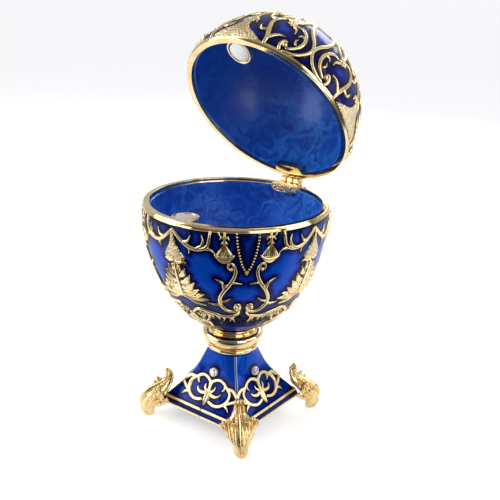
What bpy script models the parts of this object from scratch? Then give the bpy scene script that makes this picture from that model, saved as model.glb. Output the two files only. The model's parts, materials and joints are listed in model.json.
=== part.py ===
"""Egg-shaped trinket box with a hinged lid, standing on a four-sided base with leaf feet.

Metres, +Z up, the feet on z = 0, the magnets to the front (-Y) and the hinge
to the back (+Y). The pieces are built about the egg's axis on the world Z axis,
the lid is swung open about the hinge, and then all of them move forward
together, so that the open box is centred on the origin.
"""
import math

import bmesh
import bpy
import numpy as np
from mathutils import Matrix, Vector
from mathutils.geometry import delaunay_2d_cdt

MM = 0.001

# Rounds and clearances
SEGMENTS = 40
COLLAR_SEGMENTS = 28
BOSS_SIDES = 24
BARREL_SIDES = 16
STUD_SIDES = 12
CLEARANCE = 0.3 * MM
WELD = 0.002 * MM
OVERCUT = 0.5 * MM
PLACE_STEP = 0.1 * MM

# Egg: bowl and lid share one radius and meet at the rim plane
EGG_RADIUS = 30.2 * MM
BOWL_DEPTH = 44.2 * MM
LID_RISE = 32.2 * MM
LIP = 0.9 * MM
LIP_HEIGHT = 3.5 * MM
BOWL_SEAT_RADIUS = 7.5 * MM
LID_CROWN_RADIUS = 3.2 * MM
CROWN_LIFT = 0.7 * MM

# Walls and lining
RIM_WIDTH = 1.1 * MM
RIM_INNER_RADIUS = EGG_RADIUS - LIP - RIM_WIDTH
GOLD_STEP = 1.3 * MM
LINING_STEP = 0.4 * MM
WALL = 2.1 * MM
FLOOR = 2.4 * MM
LINING_ROWS = 6

# Raised work on the egg, heights above the ground of the skin
BAND_WIDTH = 1.45 * MM
BAND_LIFT = 0.25 * MM
SCROLL_LIFT = 0.55 * MM
STROKE_STEP = 3.3 * MM
NEAR = 0.5 * MM
GROUND_NEAR = 2.0 * MM
ROW_STEP = 6.0 * MM

# Lid opening
LID_OPEN_ANGLE = math.radians(54.9)
BARREL_RADIUS = 1.5 * MM
BARREL_SPACE = 0.45 * MM
HINGE_OUT = EGG_RADIUS - LIP + BAND_LIFT + BARREL_SPACE + BARREL_RADIUS
PIN_RADIUS = 0.5 * MM
PIN_CLEARANCE = 0.2 * MM
KNUCKLE_LENGTH = 2.4 * MM
LEAF_DROP = 4.2 * MM
LEAF_THICKNESS = 1.2 * MM
LEAF_INNER = EGG_RADIUS + SCROLL_LIFT + CLEARANCE
PIN_HEAD = 0.4 * MM

# Inner pads at the hinge
PAD_WIDTH = 11.0 * MM
PAD_REACH = 3.4 * MM
PAD_DEPTH = 2.0 * MM
WALL_BITE = 0.6 * MM
STUD_RADIUS = 0.8 * MM
STUD_DROP = 1.4 * MM
STUD_OFFSET = 3.2 * MM

# Magnets and their bosses
BOSS_RADIUS = 4.3 * MM
BOSS_BITE = 0.5 * MM
BOSS_CENTRE = RIM_INNER_RADIUS + BOSS_BITE - BOSS_RADIUS
BOSS_DEPTH = 3.4 * MM
MAGNET_RADIUS = 3.3 * MM
MAGNET_THICKNESS = 1.6 * MM
MAGNET_SET_BACK = 0.15 * MM

# Collar between bowl and base
COLLAR_LIP_RADIUS = 8.2 * MM
COLLAR_LIP_DEPTH = 0.4 * MM
COLLAR_NECK_RADIUS = 7.3 * MM
COLLAR_RING_RADIUS = 10.4 * MM
COLLAR_RING_HALF = 1.9 * MM
COLLAR_GROOVE_RADIUS = 7.9 * MM
COLLAR_BEAD_RADIUS = 8.55 * MM
COLLAR_BEAD_HALF = 0.8 * MM
COLLAR_GROOVE_LENGTH = 1.3 * MM
COLLAR_NECK_LENGTH = 1.88 * MM

# Base: levels are shares of its height, corners and swells shares of its corner radius
BASE_BOTTOM = 4.6 * MM
BASE_HEIGHT = 20.3 * MM
BASE_CORNER = 24.0 * MM
BASE_LEVELS = (0.0, 0.094, 0.217, 0.424, 0.700, 1.0)
BASE_CORNERS = (1.0, 0.983, 0.858, 0.667, 0.483, 0.354)
BASE_SWELLS = (0.0, 0.0, 0.010, 0.021, 0.046, 0.083)
BASE_COLUMNS = 4
BASE_ROW_STEP = 3.6 * MM
BASE_EDGE = 0.6 * MM
BASE_SCROLL_LIFT = 0.4 * MM

# Crystals on the base
CRYSTAL_RADIUS = 1.35 * MM
CRYSTAL_TABLE = 0.75 * MM
CRYSTAL_HEIGHT = 0.9 * MM
CRYSTAL_LEVEL = 0.71
CRYSTAL_SIDES = 8

# Feet
FOOT_RIBS = 4
RIB_DEPTH = 0.5 * MM

# Heights of the stack, from the table up
BASE_TOP = BASE_BOTTOM + BASE_HEIGHT
COLLAR_BOTTOM = BASE_TOP + CLEARANCE
COLLAR_BEAD_LEVEL = COLLAR_BOTTOM + COLLAR_BEAD_HALF
COLLAR_GROOVE_LEVEL = COLLAR_BEAD_LEVEL + COLLAR_BEAD_HALF
COLLAR_RING_LEVEL = COLLAR_GROOVE_LEVEL + COLLAR_GROOVE_LENGTH + COLLAR_RING_HALF
COLLAR_TOP = COLLAR_RING_LEVEL + COLLAR_RING_HALF + COLLAR_NECK_LENGTH
BOWL_DROP = BOWL_DEPTH * math.sqrt(1.0 - (BOWL_SEAT_RADIUS / EGG_RADIUS) ** 2)
LID_CLIMB = LID_RISE * math.sqrt(1.0 - (LID_CROWN_RADIUS / EGG_RADIUS) ** 2)
RIM_HEIGHT = COLLAR_TOP + CLEARANCE + BOWL_DROP

GOLD = (0.83, 0.62, 0.30, 1.0)
ENAMEL_BLUE = (0.01, 0.05, 0.42, 1.0)
SILVER = (0.80, 0.80, 0.78, 1.0)
CRYSTAL_WHITE = (0.92, 0.93, 0.96, 1.0)


def clear_scene():
    """Empty the starting scene."""
    for old in list(bpy.data.objects):
        bpy.data.objects.remove(old, do_unlink=True)


def material(name, colour, metallic, roughness, transmission=0.0):
    """Return a Principled material of one colour."""
    made = bpy.data.materials.new(name)
    made.use_nodes = True
    shader = made.node_tree.nodes["Principled BSDF"]
    shader.inputs["Base Color"].default_value = colour
    shader.inputs["Metallic"].default_value = metallic
    shader.inputs["Roughness"].default_value = roughness
    shader.inputs["Transmission Weight"].default_value = transmission
    made.diffuse_color = colour
    return made


def add_object(bm, name, finish, origin=Vector((0.0, 0.0, 0.0)), smooth_angle=35.0):
    """Turn a bmesh given in world coordinates into an object with its own origin."""
    bmesh.ops.remove_doubles(bm, verts=bm.verts, dist=WELD)
    bmesh.ops.dissolve_degenerate(bm, edges=bm.edges, dist=WELD)
    bmesh.ops.recalc_face_normals(bm, faces=bm.faces)
    bmesh.ops.translate(bm, verts=bm.verts, vec=-origin)
    mesh = bpy.data.meshes.new(name)
    bm.to_mesh(mesh)
    bm.free()
    mesh.materials.append(finish)
    mesh.shade_smooth()
    mesh.set_sharp_from_angle(angle=math.radians(smooth_angle))
    made = bpy.data.objects.new(name, mesh)
    made.location = origin
    bpy.context.scene.collection.objects.link(made)
    return made


def boolean(target, tool, operation):
    """Apply an exact Boolean of one object on another and drop the tool."""
    tool.hide_render = True
    tool.display_type = "WIRE"
    modifier = target.modifiers.new(operation.lower(), "BOOLEAN")
    modifier.operation = operation
    modifier.solver = "EXACT"
    modifier.object = tool
    graph = bpy.context.evaluated_depsgraph_get()
    shaped = bpy.data.meshes.new_from_object(target.evaluated_get(graph))
    target.modifiers.remove(modifier)
    old = target.data
    target.data = shaped
    bpy.data.meshes.remove(old)
    bpy.data.objects.remove(tool, do_unlink=True)


def spun(profile, segments=SEGMENTS):
    """Return a bmesh turned once about Z from a list of (radius, height)."""
    bm = bmesh.new()
    add_spun(bm, profile, segments)
    return bm


def add_spun(bm, profile, segments=SEGMENTS):
    """Turn a profile of (radius, height) about Z into a bmesh, starting at the front."""
    points = [bm.verts.new((0.0, -radius, height)) for radius, height in profile]
    edges = [bm.edges.new(pair) for pair in zip(points, points[1:])]
    bmesh.ops.spin(
        bm,
        geom=points + edges,
        cent=(0.0, 0.0, 0.0),
        axis=(0.0, 0.0, 1.0),
        angle=2.0 * math.pi,
        steps=segments,
        use_merge=True,
    )


def cylinder(radius, depth, centre, axis="Z", sides=BOSS_SIDES):
    """Return a bmesh cylinder about a world axis."""
    bm = bmesh.new()
    bmesh.ops.create_cone(
        bm, cap_ends=True, segments=sides, radius1=radius, radius2=radius, depth=depth
    )
    if axis == "X":
        bmesh.ops.rotate(bm, verts=bm.verts, matrix=Matrix.Rotation(math.pi / 2.0, 3, "Y"))
    bmesh.ops.translate(bm, verts=bm.verts, vec=centre)
    return bm


def block(low, high):
    """Return a bmesh box between two corners."""
    bm = bmesh.new()
    bmesh.ops.create_cube(bm, size=1.0)
    size = Vector(high) - Vector(low)
    bmesh.ops.scale(bm, verts=bm.verts, vec=size)
    bmesh.ops.translate(bm, verts=bm.verts, vec=(Vector(high) + Vector(low)) / 2.0)
    return bm


class Skin:
    """Round skin of the egg, addressed by azimuth and by distance from the rim."""

    def __init__(self, rise, last_depth, rim, sign, drawn_length):
        """Measure the profile from the rim plane down or up to its last depth."""
        depths = np.linspace(0.0, last_depth, 400)
        self.radii = np.array([egg_radius(depth, rise) for depth in depths])
        self.rim = rim
        self.sign = sign
        self.heights = rim + sign * depths
        steps = np.hypot(np.diff(self.radii), np.diff(self.heights))
        self.along = np.concatenate(([0.0], np.cumsum(steps)))
        self.length = float(self.along[-1])
        slope = np.stack((np.gradient(self.radii), np.gradient(self.heights)), 1)
        slope /= np.linalg.norm(slope, axis=1)[:, None]
        self.normals = np.stack((sign * slope[:, 1], -sign * slope[:, 0]), 1)
        self.span = 45.0
        self.columns = SEGMENTS // 8
        self.drawn_length = drawn_length

    def scale(self, along):
        """Return metres per degree at a distance from the rim."""
        return math.radians(1.0) * float(np.interp(along, self.along, self.radii))

    def point(self, across, along, lift):
        """Return the world point of the half sector at a chart place."""
        out = float(np.interp(along, self.along, self.normals[:, 0])) * lift
        rise = float(np.interp(along, self.along, self.normals[:, 1])) * lift
        radius = float(np.interp(along, self.along, self.radii)) + out
        height = float(np.interp(along, self.along, self.heights)) + rise
        height = self.rim + self.sign * max(0.0, self.sign * (height - self.rim))
        angle = math.radians(across)
        return Vector((radius * math.sin(angle), -radius * math.cos(angle), height))


class BaseFace:
    """Half of one hollow-curved face of the base, from its centre line to the ridge."""

    def __init__(self):
        """Measure the face's centre line from the bottom edge to the neck."""
        shares = np.linspace(0.0, 1.0, 300)
        self.heights = BASE_BOTTOM + BASE_HEIGHT * shares
        corners = smoothed(np.interp(shares, BASE_LEVELS, BASE_CORNERS)) * BASE_CORNER
        self.half = corners / math.sqrt(2.0)
        self.swell = smoothed(np.interp(shares, BASE_LEVELS, BASE_SWELLS)) * BASE_CORNER
        middle = self.half + self.swell
        steps = np.hypot(np.diff(middle), np.diff(self.heights))
        self.along = np.concatenate(([0.0], np.cumsum(steps)))
        self.length = float(self.along[-1])
        slope = np.stack((np.gradient(middle), np.gradient(self.heights)), 1)
        slope /= np.linalg.norm(slope, axis=1)[:, None]
        self.normals = np.stack((slope[:, 1], -slope[:, 0]), 1)
        self.span = 1.0
        self.columns = BASE_COLUMNS
        self.drawn_length = BASE_DRAWN_LENGTH

    def scale(self, along):
        """Return the half width of the face at a distance from its bottom edge."""
        return float(np.interp(along, self.along, self.half))

    def point(self, across, along, lift):
        """Return the world point of the front half face at a chart place."""
        half = self.scale(along)
        swell = float(np.interp(along, self.along, self.swell))
        flat = Vector((across * half, -half - swell * (1.0 - across**2), 0.0))
        out = float(np.interp(along, self.along, self.normals[:, 0])) * lift
        rise = float(np.interp(along, self.along, self.normals[:, 1])) * lift
        height = float(np.interp(along, self.along, self.heights)) + rise
        flat += flat.normalized() * out
        return Vector((flat.x, flat.y, height))


def smoothed(values):
    """Return a row of values with its corners rounded off, the ends kept."""
    kernel = np.ones(31) / 31.0
    padded = np.pad(values, 15, mode="reflect", reflect_type="odd")
    return np.convolve(padded, kernel, mode="valid")


class Stroke:
    """One raised line or leaf on a chart, with a ridge along its middle."""

    def __init__(self, chart, points, widths, lift):
        """Lay a smooth path through chart points with half widths at start, middle, end."""
        self.chart = chart
        self.lift = lift
        unit = chart.length / chart.drawn_length
        rough = catmull_rom([(across, along * unit) for across, along in points])
        scales = np.array([chart.scale(along) for along in rough[:, 1]])
        middle = (scales[1:] + scales[:-1]) / 2.0
        steps = np.hypot(np.diff(rough[:, 0]) * middle, np.diff(rough[:, 1]))
        run = np.concatenate(([0.0], np.cumsum(steps)))
        count = max(2, int(round(run[-1] / STROKE_STEP)) + 1)
        self.share = np.linspace(0.0, 1.0, count)
        places = self.share * run[-1]
        self.across = np.interp(places, run, rough[:, 0])
        self.along = np.interp(places, run, rough[:, 1])
        self.scales = np.array([chart.scale(along) for along in self.along])
        self.half = np.interp(self.share, (0.0, 0.5, 1.0), [width * MM for width in widths])

    def sides(self):
        """Return the chart places of the two edges of the stroke."""
        run = np.gradient(self.across) * self.scales
        rise = np.gradient(self.along)
        length = np.hypot(run, rise)
        out = []
        for side in (1.0, -1.0):
            across = self.across - side * self.half * rise / length / self.scales
            along = self.along + side * self.half * run / length
            out.append(list(zip(across, along)))
        return out

    def height(self, across, along):
        """Return how high the stroke stands at a chart place."""
        scale = self.chart.scale(along)
        a = np.stack((self.across[:-1] * scale, self.along[:-1]), 1)
        b = np.stack((self.across[1:] * scale, self.along[1:]), 1)
        place = np.array((across * scale, along))
        run = b - a
        share = ((place - a) * run).sum(1) / np.maximum((run**2).sum(1), 1e-18)
        share = np.clip(share, 0.0, 1.0)
        away = np.linalg.norm(a + run * share[:, None] - place, axis=1)
        half = self.half[:-1] * (1.0 - share) + self.half[1:] * share
        return float(np.clip(1.0 - away / half, 0.0, 1.0).max()) * self.lift


def catmull_rom(points, pieces=10):
    """Return a smooth path through the points."""
    knots = np.array(points, dtype=float)
    if len(knots) == 2:
        share = np.linspace(0.0, 1.0, pieces + 1)[:, None]
        return knots[0] * (1.0 - share) + knots[1] * share
    knots = np.vstack((2.0 * knots[0] - knots[1], knots, 2.0 * knots[-1] - knots[-2]))
    path = []
    for before, start, end, after in zip(knots, knots[1:], knots[2:], knots[3:]):
        for share in np.linspace(0.0, 1.0, pieces, endpoint=False):
            value = 2.0 * start + (end - before) * share
            value = value + (2.0 * before - 5.0 * start + 4.0 * end - after) * share**2
            value = value + (3.0 * start - before - 3.0 * end + after) * share**3
            path.append(value / 2.0)
    path.append(knots[-2])
    return np.array(path)


class Relief:
    """Triangulated half sector of a chart with its strokes raised."""

    def __init__(self, chart, strokes, band, band_lift, row_step):
        """Gather the points and edges of the strokes and of the ground between them."""
        self.chart = chart
        self.band = band
        self.band_lift = band_lift
        self.strokes = strokes
        self.mean = chart.scale(chart.length * 0.35)
        self.places = []
        self.edges = []
        self.add_borders(row_step)
        for stroke in strokes:
            self.add_line(list(zip(stroke.across, stroke.along)))
        for stroke in strokes:
            for side in stroke.sides():
                self.add_line(side)
        self.add_ground(row_step)

    def add(self, across, along, near):
        """Add a place unless one is near, and return its index."""
        edge = 0.8 * NEAR / self.chart.scale(along)
        if across < edge:
            across = 0.0
        if across > self.chart.span - edge:
            across = self.chart.span
        along = min(max(along, self.band + 2.5 * NEAR), self.chart.length - 2.0 * NEAR)
        return self.place(across, along, near)

    def place(self, across, along, near):
        """Return the index of the place nearest by, or of a new one."""
        if self.places:
            known = np.array(self.places)
            scale = self.chart.scale(along)
            away = np.hypot((known[:, 0] - across) * scale, known[:, 1] - along)
            nearest = int(away.argmin())
            if away[nearest] < near:
                return nearest
        self.places.append((across, along))
        return len(self.places) - 1

    def add_borders(self, row_step):
        """Add the outer rows, the band's edges and the two sides of the chart."""
        for along in (0.0, self.band, self.band + NEAR, self.chart.length):
            row = [
                self.place(self.chart.span * column / self.chart.columns, along, 0.0)
                for column in range(self.chart.columns + 1)
            ]
            self.edges += list(zip(row, row[1:]))

    def add_line(self, places):
        """Add the places of a line and join them."""
        row = [self.add(across, along, NEAR) for across, along in places]
        self.edges += [pair for pair in zip(row, row[1:]) if pair[0] != pair[1]]

    def add_ground(self, row_step):
        """Fill the ground with an even grid that keeps off the strokes."""
        rows = max(2, int(round((self.chart.length - self.band) / row_step)))
        for row in range(1, rows):
            along = self.band + (self.chart.length - self.band) * row / rows
            for column in range(self.chart.columns + 1):
                across = self.chart.span * column / self.chart.columns
                self.place(across, along, GROUND_NEAR)

    def height(self, across, along):
        """Return the height of the raised work at a chart place."""
        if along <= self.band + WELD:
            return self.band_lift
        return max([stroke.height(across, along) for stroke in self.strokes] + [0.0])

    def triangles(self):
        """Return the world points and the triangles of the half sector."""
        flat = [Vector((across * self.mean / MM, along / MM)) for across, along in self.places]
        edges = sorted({tuple(sorted(edge)) for edge in self.edges})
        found = delaunay_2d_cdt(flat, edges, [], 0, 1e-4)
        points = []
        for place in found[0]:
            across = min(max(place.x * MM / self.mean, 0.0), self.chart.span)
            along = place.y * MM
            points.append(self.chart.point(across, along, self.height(across, along)))
        return points, found[2]

    def add_to(self, bm):
        """Add all eight half sectors to a bmesh."""
        points, triangles = self.triangles()
        for quarter in range(4):
            turn = Matrix.Rotation(math.pi / 2.0 * quarter, 3, "Z")
            for side in (1.0, -1.0):
                verts = [
                    bm.verts.new(turn @ Vector((point.x * side, point.y, point.z)))
                    for point in points
                ]
                for triangle in triangles:
                    corners = [verts[index] for index in triangle]
                    bm.faces.new(corners if side > 0.0 else corners[::-1])


def egg_radius(depth, rise):
    """Return the egg's outer radius at a distance from the rim plane."""
    round_off = max(0.0, 1.0 - depth / LIP_HEIGHT) ** 2
    return EGG_RADIUS * math.sqrt(max(0.0, 1.0 - (depth / rise) ** 2)) - LIP * round_off


def lining(rim, sign, rise, floor):
    """Return the inner profile from the rim's inner edge to the pole."""
    lining_radius = RIM_INNER_RADIUS - LINING_STEP
    lining_rise = rise - floor
    profile = [
        (RIM_INNER_RADIUS, rim),
        (RIM_INNER_RADIUS, rim + sign * GOLD_STEP),
        (lining_radius, rim + sign * (GOLD_STEP + LINING_STEP)),
    ]
    start = math.asin((GOLD_STEP + LINING_STEP) / lining_rise)
    for row in range(1, LINING_ROWS + 1):
        angle = start + (math.pi / 2.0 - start) * row / LINING_ROWS
        depth = lining_rise * math.sin(angle)
        profile.append((lining_radius * max(0.0, math.cos(angle)), rim + sign * depth))
    profile[-1] = (0.0, profile[-1][1])
    return profile


# The strokes are drawn on charts of these lengths and stretch with the skins. Each has
# its points, as degrees or offset across and distance along, and its half widths in
# millimetres at its start, middle and end.
BOWL_DRAWN_LENGTH = 51.4
LID_DRAWN_LENGTH = 45.9
BASE_DRAWN_LENGTH = 22.5

BOWL_STROKES = (
    (
        (
            (0, 3.6), (5, 5.0), (10, 6.8), (15, 7.3), (20, 7.0), (23, 5.0), (24, 2.6),
        ),
        (0.5, 0.7, 0.5),
    ),
    (((38.8, 2.6), (39.2, 5.0), (41.0, 10.0), (42.5, 12.0), (45, 14.0)), (0.5, 0.5, 0.5)),
    (((32, 2.6), (32, 5.0), (32, 9.6)), (0.5, 1.1, 2.1)),
    (((0, 4.2), (0, 8.5), (0, 12.9)), (0.5, 1.9, 3.6)),
    (((0, 14.2), (0, 19.0), (0, 24.0)), (0.5, 1.8, 0.6)),
    (((1.5, 24.0), (6.0, 21.0), (12.5, 17.6)), (0.6, 1.5, 0.4)),
    (((1.5, 25.2), (9.0, 25.4), (18.0, 23.6)), (0.6, 1.4, 0.4)),
    (
        (
            (36.0, 13.6),
            (34.6, 11.9),
            (36.6, 10.9),
            (38.6, 13.2),
            (37.6, 16.0),
            (34.5, 19.0),
            (31.0, 21.5),
            (28.6, 24.0),
            (28.6, 26.8),
            (31.5, 29.0),
            (36.0, 30.2),
            (41.0, 29.6),
            (42.0, 27.4),
            (39.6, 26.8),
        ),
        (0.4, 0.9, 0.4),
    ),
    (((33.8, 18.9), (38.0, 17.8), (42.8, 18.4)), (0.6, 1.0, 0.3)),
    (
        (
            (42.0, 31.4), (36.0, 33.0), (28.0, 33.2), (18.0, 31.6), (8.0, 31.2), (0, 33.4),
        ),
        (0.4, 0.7, 0.5),
    ),
    (((14.5, 32.4), (17.0, 34.6), (13.0, 37.0), (6.0, 38.2)), (0.4, 0.7, 0.3)),
    (((0, 36.5), (0, 41.0), (0, 45.0)), (0.5, 1.5, 0.5)),
)

LID_STROKES = (
    (((0, 2.6), (0, 5.0), (0, 9.8)), (8.0, 3.4, 0.6)),
    (((0, 9.8), (0, 15.0), (0, 21.0)), (0.6, 0.5, 0.5)),
    (((19, 2.6), (18.6, 5.0), (14.0, 10.0), (10.5, 14.2)), (0.5, 1.1, 0.3)),
    (((20.5, 4.2), (24.0, 5.8), (27.5, 8.2)), (0.4, 0.9, 0.3)),
    (
        (
            (31.0, 3.6), (36.0, 5.5), (38.2, 9.0), (35.6, 13.0), (30.0, 17.0), (23.0, 20.6),
            (20.0, 26.0),
        ),
        (0.5, 0.8, 0.4),
    ),
    (
        (
            (37.6, 2.6), (42.2, 5.0), (44.2, 9.0), (42.2, 12.4), (37.6, 17.0), (36.0, 23.0),
            (38.0, 30.0),
        ),
        (0.5, 0.7, 0.4),
    ),
    (((24.5, 11.6), (24.0, 14.0), (23.6, 16.8)), (0.4, 1.5, 0.4)),
    (((20.0, 26.0), (12.0, 28.0), (4.0, 26.0), (0, 21.0)), (0.4, 0.8, 0.5)),
    (((0, 29.0), (0, 34.0), (0, 41.0)), (0.5, 2.0, 0.5)),
)

BASE_STROKES = (
    (((0, 2.6), (8.0, 2.6), (15.6, 2.6)), (0.5, 0.5, 0.5)),
    (((0, 4.3), (0, 6.8), (0, 9.2)), (0.3, 1.3, 0.7)),
    (((0, 9.2), (0, 12.4)), (0.7, 0.6, 0.9)),
    (
        (
            (0, 12.4), (1.6, 13.5), (3.4, 13.9), (5.0, 13.3), (6.4, 12.3), (8.6, 12.1),
            (10.6, 10.9),
        ),
        (0.5, 0.5, 0.5),
    ),
    (
        (
            (6.6, 12.0), (7.9, 10.9), (8.3, 9.2), (7.6, 7.3), (6.0, 5.9), (3.8, 5.4),
            (1.4, 6.0),
        ),
        (0.5, 0.5, 0.4),
    ),
    (((0.9, 8.6), (3.0, 8.3), (4.8, 9.3)), (0.6, 0.6, 0.3)),
    (((7.9, 7.3), (9.5, 8.1), (11.3, 9.6)), (0.6, 0.5, 0.4)),
)

# Leaf foot: level, then inner, side and outer distance and half width. Levels up to 1
# are shares of the base's clear height, those above it add shares of the base's
# height, and the others are shares of the base's corner radius.
FOOT_STATIONS = (
    (0.00, 1.150, 1.200, 1.250, 0.054),
    (0.22, 1.121, 1.208, 1.292, 0.083),
    (0.74, 1.100, 1.200, 1.325, 0.104),
    (0.98, 1.100, 1.183, 1.325, 0.117),
    (1.04, 1.017, 0.892, 1.321, 0.146),
    (1.12, 1.000, 0.842, 1.296, 0.192),
    (1.20, 0.933, 0.775, 1.246, 0.225),
    (1.26, 0.908, 0.775, 1.167, 0.208),
    (1.31, 0.892, 0.842, 1.092, 0.142),
    (1.37, 0.867, 0.867, 0.983, 0.088),
    (1.48, 0.838, 0.850, 0.925, 0.071),
    (1.58, 0.879, 0.892, 0.917, 0.029),
)
FOOT_RIB_FROM = 0.167


def shell(name, skin, strokes, inner, pole_radius_height, finish, cap):
    """Build a hollow half of the egg from its skin, its raised work and its lining."""
    made = [Stroke(skin, points, widths, SCROLL_LIFT) for points, widths in strokes]
    bm = bmesh.new()
    Relief(skin, made, BAND_WIDTH, BAND_LIFT, ROW_STEP).add_to(bm)
    rim = skin.point(0.0, 0.0, BAND_LIFT)
    add_spun(bm, [(-rim.y, rim.z)] + inner)
    radius, height = pole_radius_height
    add_spun(bm, [(radius, height)] + cap)
    return add_object(bm, name, finish)


def add_boss(half, rim, sign):
    """Join the magnet's boss to a half of the egg and bore its seat."""
    low = min(rim, rim + sign * BOSS_DEPTH)
    centre = Vector((0.0, -BOSS_CENTRE, low + BOSS_DEPTH / 2.0))
    boss = add_object(cylinder(BOSS_RADIUS, BOSS_DEPTH, centre), "boss", half.data.materials[0])
    boolean(half, boss, "UNION")
    depth = MAGNET_THICKNESS + MAGNET_SET_BACK + CLEARANCE
    centre.z = rim + sign * (depth - OVERCUT) / 2.0
    seat = cylinder(MAGNET_RADIUS + CLEARANCE, depth + OVERCUT, centre)
    boolean(half, add_object(seat, "seat", half.data.materials[0]), "DIFFERENCE")


def add_pad(half, rim, sign, with_stud):
    """Join the flat pad inside the rim at the hinge, with its stud."""
    outer = RIM_INNER_RADIUS + WALL_BITE
    inner = RIM_INNER_RADIUS - PAD_REACH
    angle = math.asin(PAD_WIDTH / 2.0 / outer)
    bm = bmesh.new()
    ring = [
        (outer * math.sin(share * angle), outer * math.cos(share * angle))
        for share in np.linspace(-1.0, 1.0, 9)
    ]
    corner = PAD_WIDTH / 2.0 - PAD_REACH / 2.0
    ring += [(corner, inner), (-corner, inner)]
    low = min(rim, rim + sign * PAD_DEPTH)
    face = bm.faces.new([bm.verts.new((x, y, low)) for x, y in ring])
    grown = bmesh.ops.extrude_face_region(bm, geom=[face])["geom"]
    moved = [item for item in grown if isinstance(item, bmesh.types.BMVert)]
    bmesh.ops.translate(bm, verts=moved, vec=(0.0, 0.0, PAD_DEPTH))
    boolean(half, add_object(bm, "pad", half.data.materials[0]), "UNION")
    if with_stud:
        height = PAD_DEPTH + STUD_DROP
        centre = Vector((STUD_OFFSET, inner + STUD_RADIUS * 1.5, rim + sign * height / 2.0))
        centre.z += sign * CLEARANCE
        stud = cylinder(STUD_RADIUS, height - CLEARANCE, centre, sides=STUD_SIDES)
        boolean(half, add_object(stud, "stud", half.data.materials[0]), "UNION")


def build_magnet(name, rim, sign, finish):
    """Build a disc magnet lying in its boss."""
    centre = Vector((0.0, -BOSS_CENTRE, rim + sign * (MAGNET_SET_BACK + MAGNET_THICKNESS / 2.0)))
    return add_object(cylinder(MAGNET_RADIUS, MAGNET_THICKNESS, centre), name, finish)


def build_leaf(name, hinge, sign, knuckles, finish):
    """Build one hinge leaf: a plate on the outer wall, its lugs and its knuckles."""
    half = (KNUCKLE_LENGTH * 3.0 + CLEARANCE * 2.0) / 2.0
    inner = LEAF_INNER
    top = BARREL_RADIUS + CLEARANCE
    low = min(sign * top, sign * LEAF_DROP)
    high = max(sign * top, sign * LEAF_DROP)
    plate = block(
        (-half, inner, hinge.z + low), (half, inner + LEAF_THICKNESS, hinge.z + high)
    )
    leaf = add_object(plate, name, finish)
    for left in knuckles:
        low = min(0.0, sign * (top + OVERCUT))
        high = max(0.0, sign * (top + OVERCUT))
        lug = block(
            (left, inner, hinge.z + low),
            (left + KNUCKLE_LENGTH, inner + LEAF_THICKNESS, hinge.z + high),
        )
        boolean(leaf, add_object(lug, "lug", finish), "UNION")
        centre = Vector((left + KNUCKLE_LENGTH / 2.0, hinge.y, hinge.z))
        knuckle = cylinder(BARREL_RADIUS, KNUCKLE_LENGTH, centre, "X", BARREL_SIDES)
        boolean(leaf, add_object(knuckle, "knuckle", finish), "UNION")
    bore = cylinder(PIN_RADIUS + PIN_CLEARANCE, half * 2.0 + OVERCUT, hinge, "X", BARREL_SIDES)
    boolean(leaf, add_object(bore, "bore", finish), "DIFFERENCE")
    return leaf


def build_foot(name, azimuth, face, finish):
    """Build a leaf foot hugging one corner of the base."""
    bm = bmesh.new()
    rings = []
    ribs = 2 * FOOT_RIBS
    for level, *shares in FOOT_STATIONS:
        inner, side, outer, width = (share * BASE_CORNER for share in shares)
        height = BASE_BOTTOM * min(level, 1.0) + BASE_HEIGHT * max(level - 1.0, 0.0)
        if level > 1.0:
            corner = float(np.interp(height, face.heights, face.half)) * math.sqrt(2.0)
            gap = (CLEARANCE + BASE_SCROLL_LIFT) * math.sqrt(2.0)
            inner = max(inner, corner + gap)
            side = max(side, corner - width + gap)
        ring = []
        for rib in range(ribs + 1):
            angle = math.pi * (rib / ribs - 0.5)
            depth = RIB_DEPTH * (rib % 2) * min(1.0, width / (FOOT_RIB_FROM * BASE_CORNER))
            across = (width - depth * abs(math.sin(angle))) * math.sin(angle)
            out = side + (outer - side - depth) * math.cos(angle)
            ring.append((across, out))
        hollow = (side + inner) / 2.0
        ring += [(width / 2.0, hollow), (0.0, inner), (-width / 2.0, hollow)]
        rings.append([bm.verts.new((x, -y, height)) for x, y in ring])
    for lower, upper in zip(rings, rings[1:]):
        for index in range(len(lower)):
            after = (index + 1) % len(lower)
            bm.faces.new((lower[index], lower[after], upper[after], upper[index]))
    bm.faces.new(rings[0][::-1])
    bm.faces.new(rings[-1])
    turn = Matrix.Rotation(azimuth, 3, "Z")
    bmesh.ops.rotate(bm, verts=bm.verts, matrix=turn)
    return add_object(bm, name, finish)


def build_base(face, finish):
    """Build the four-sided base with its scrolls."""
    strokes = []
    for points, widths in BASE_STROKES:
        unit = face.length / face.drawn_length
        placed = [(across * unit / face.scale(along * unit), along) for across, along in points]
        strokes.append(Stroke(face, placed, widths, BASE_SCROLL_LIFT))
    bm = bmesh.new()
    relief = Relief(face, strokes, BASE_EDGE, 0.0, BASE_ROW_STEP)
    relief.add_to(bm)
    bmesh.ops.remove_doubles(bm, verts=bm.verts, dist=WELD)
    for edges in open_loops(bm):
        bmesh.ops.contextual_create(bm, geom=edges)
    return add_object(bm, "base", finish)


def open_loops(bm):
    """Return the open edges of a bmesh, lower loop first."""
    middle = (BASE_BOTTOM + BASE_TOP) / 2.0
    edges = [edge for edge in bm.edges if edge.is_boundary]
    low = [edge for edge in edges if edge.verts[0].co.z < middle]
    high = [edge for edge in edges if edge.verts[0].co.z >= middle]
    return low, high


def half_round(radius, half, level, count):
    """Return the profile of a half-round moulding from its top to its bottom."""
    core = radius - half
    angles = np.linspace(math.pi / 2.0, -math.pi / 2.0, count)
    return [(core + half * math.cos(angle), level + half * math.sin(angle)) for angle in angles]


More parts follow.
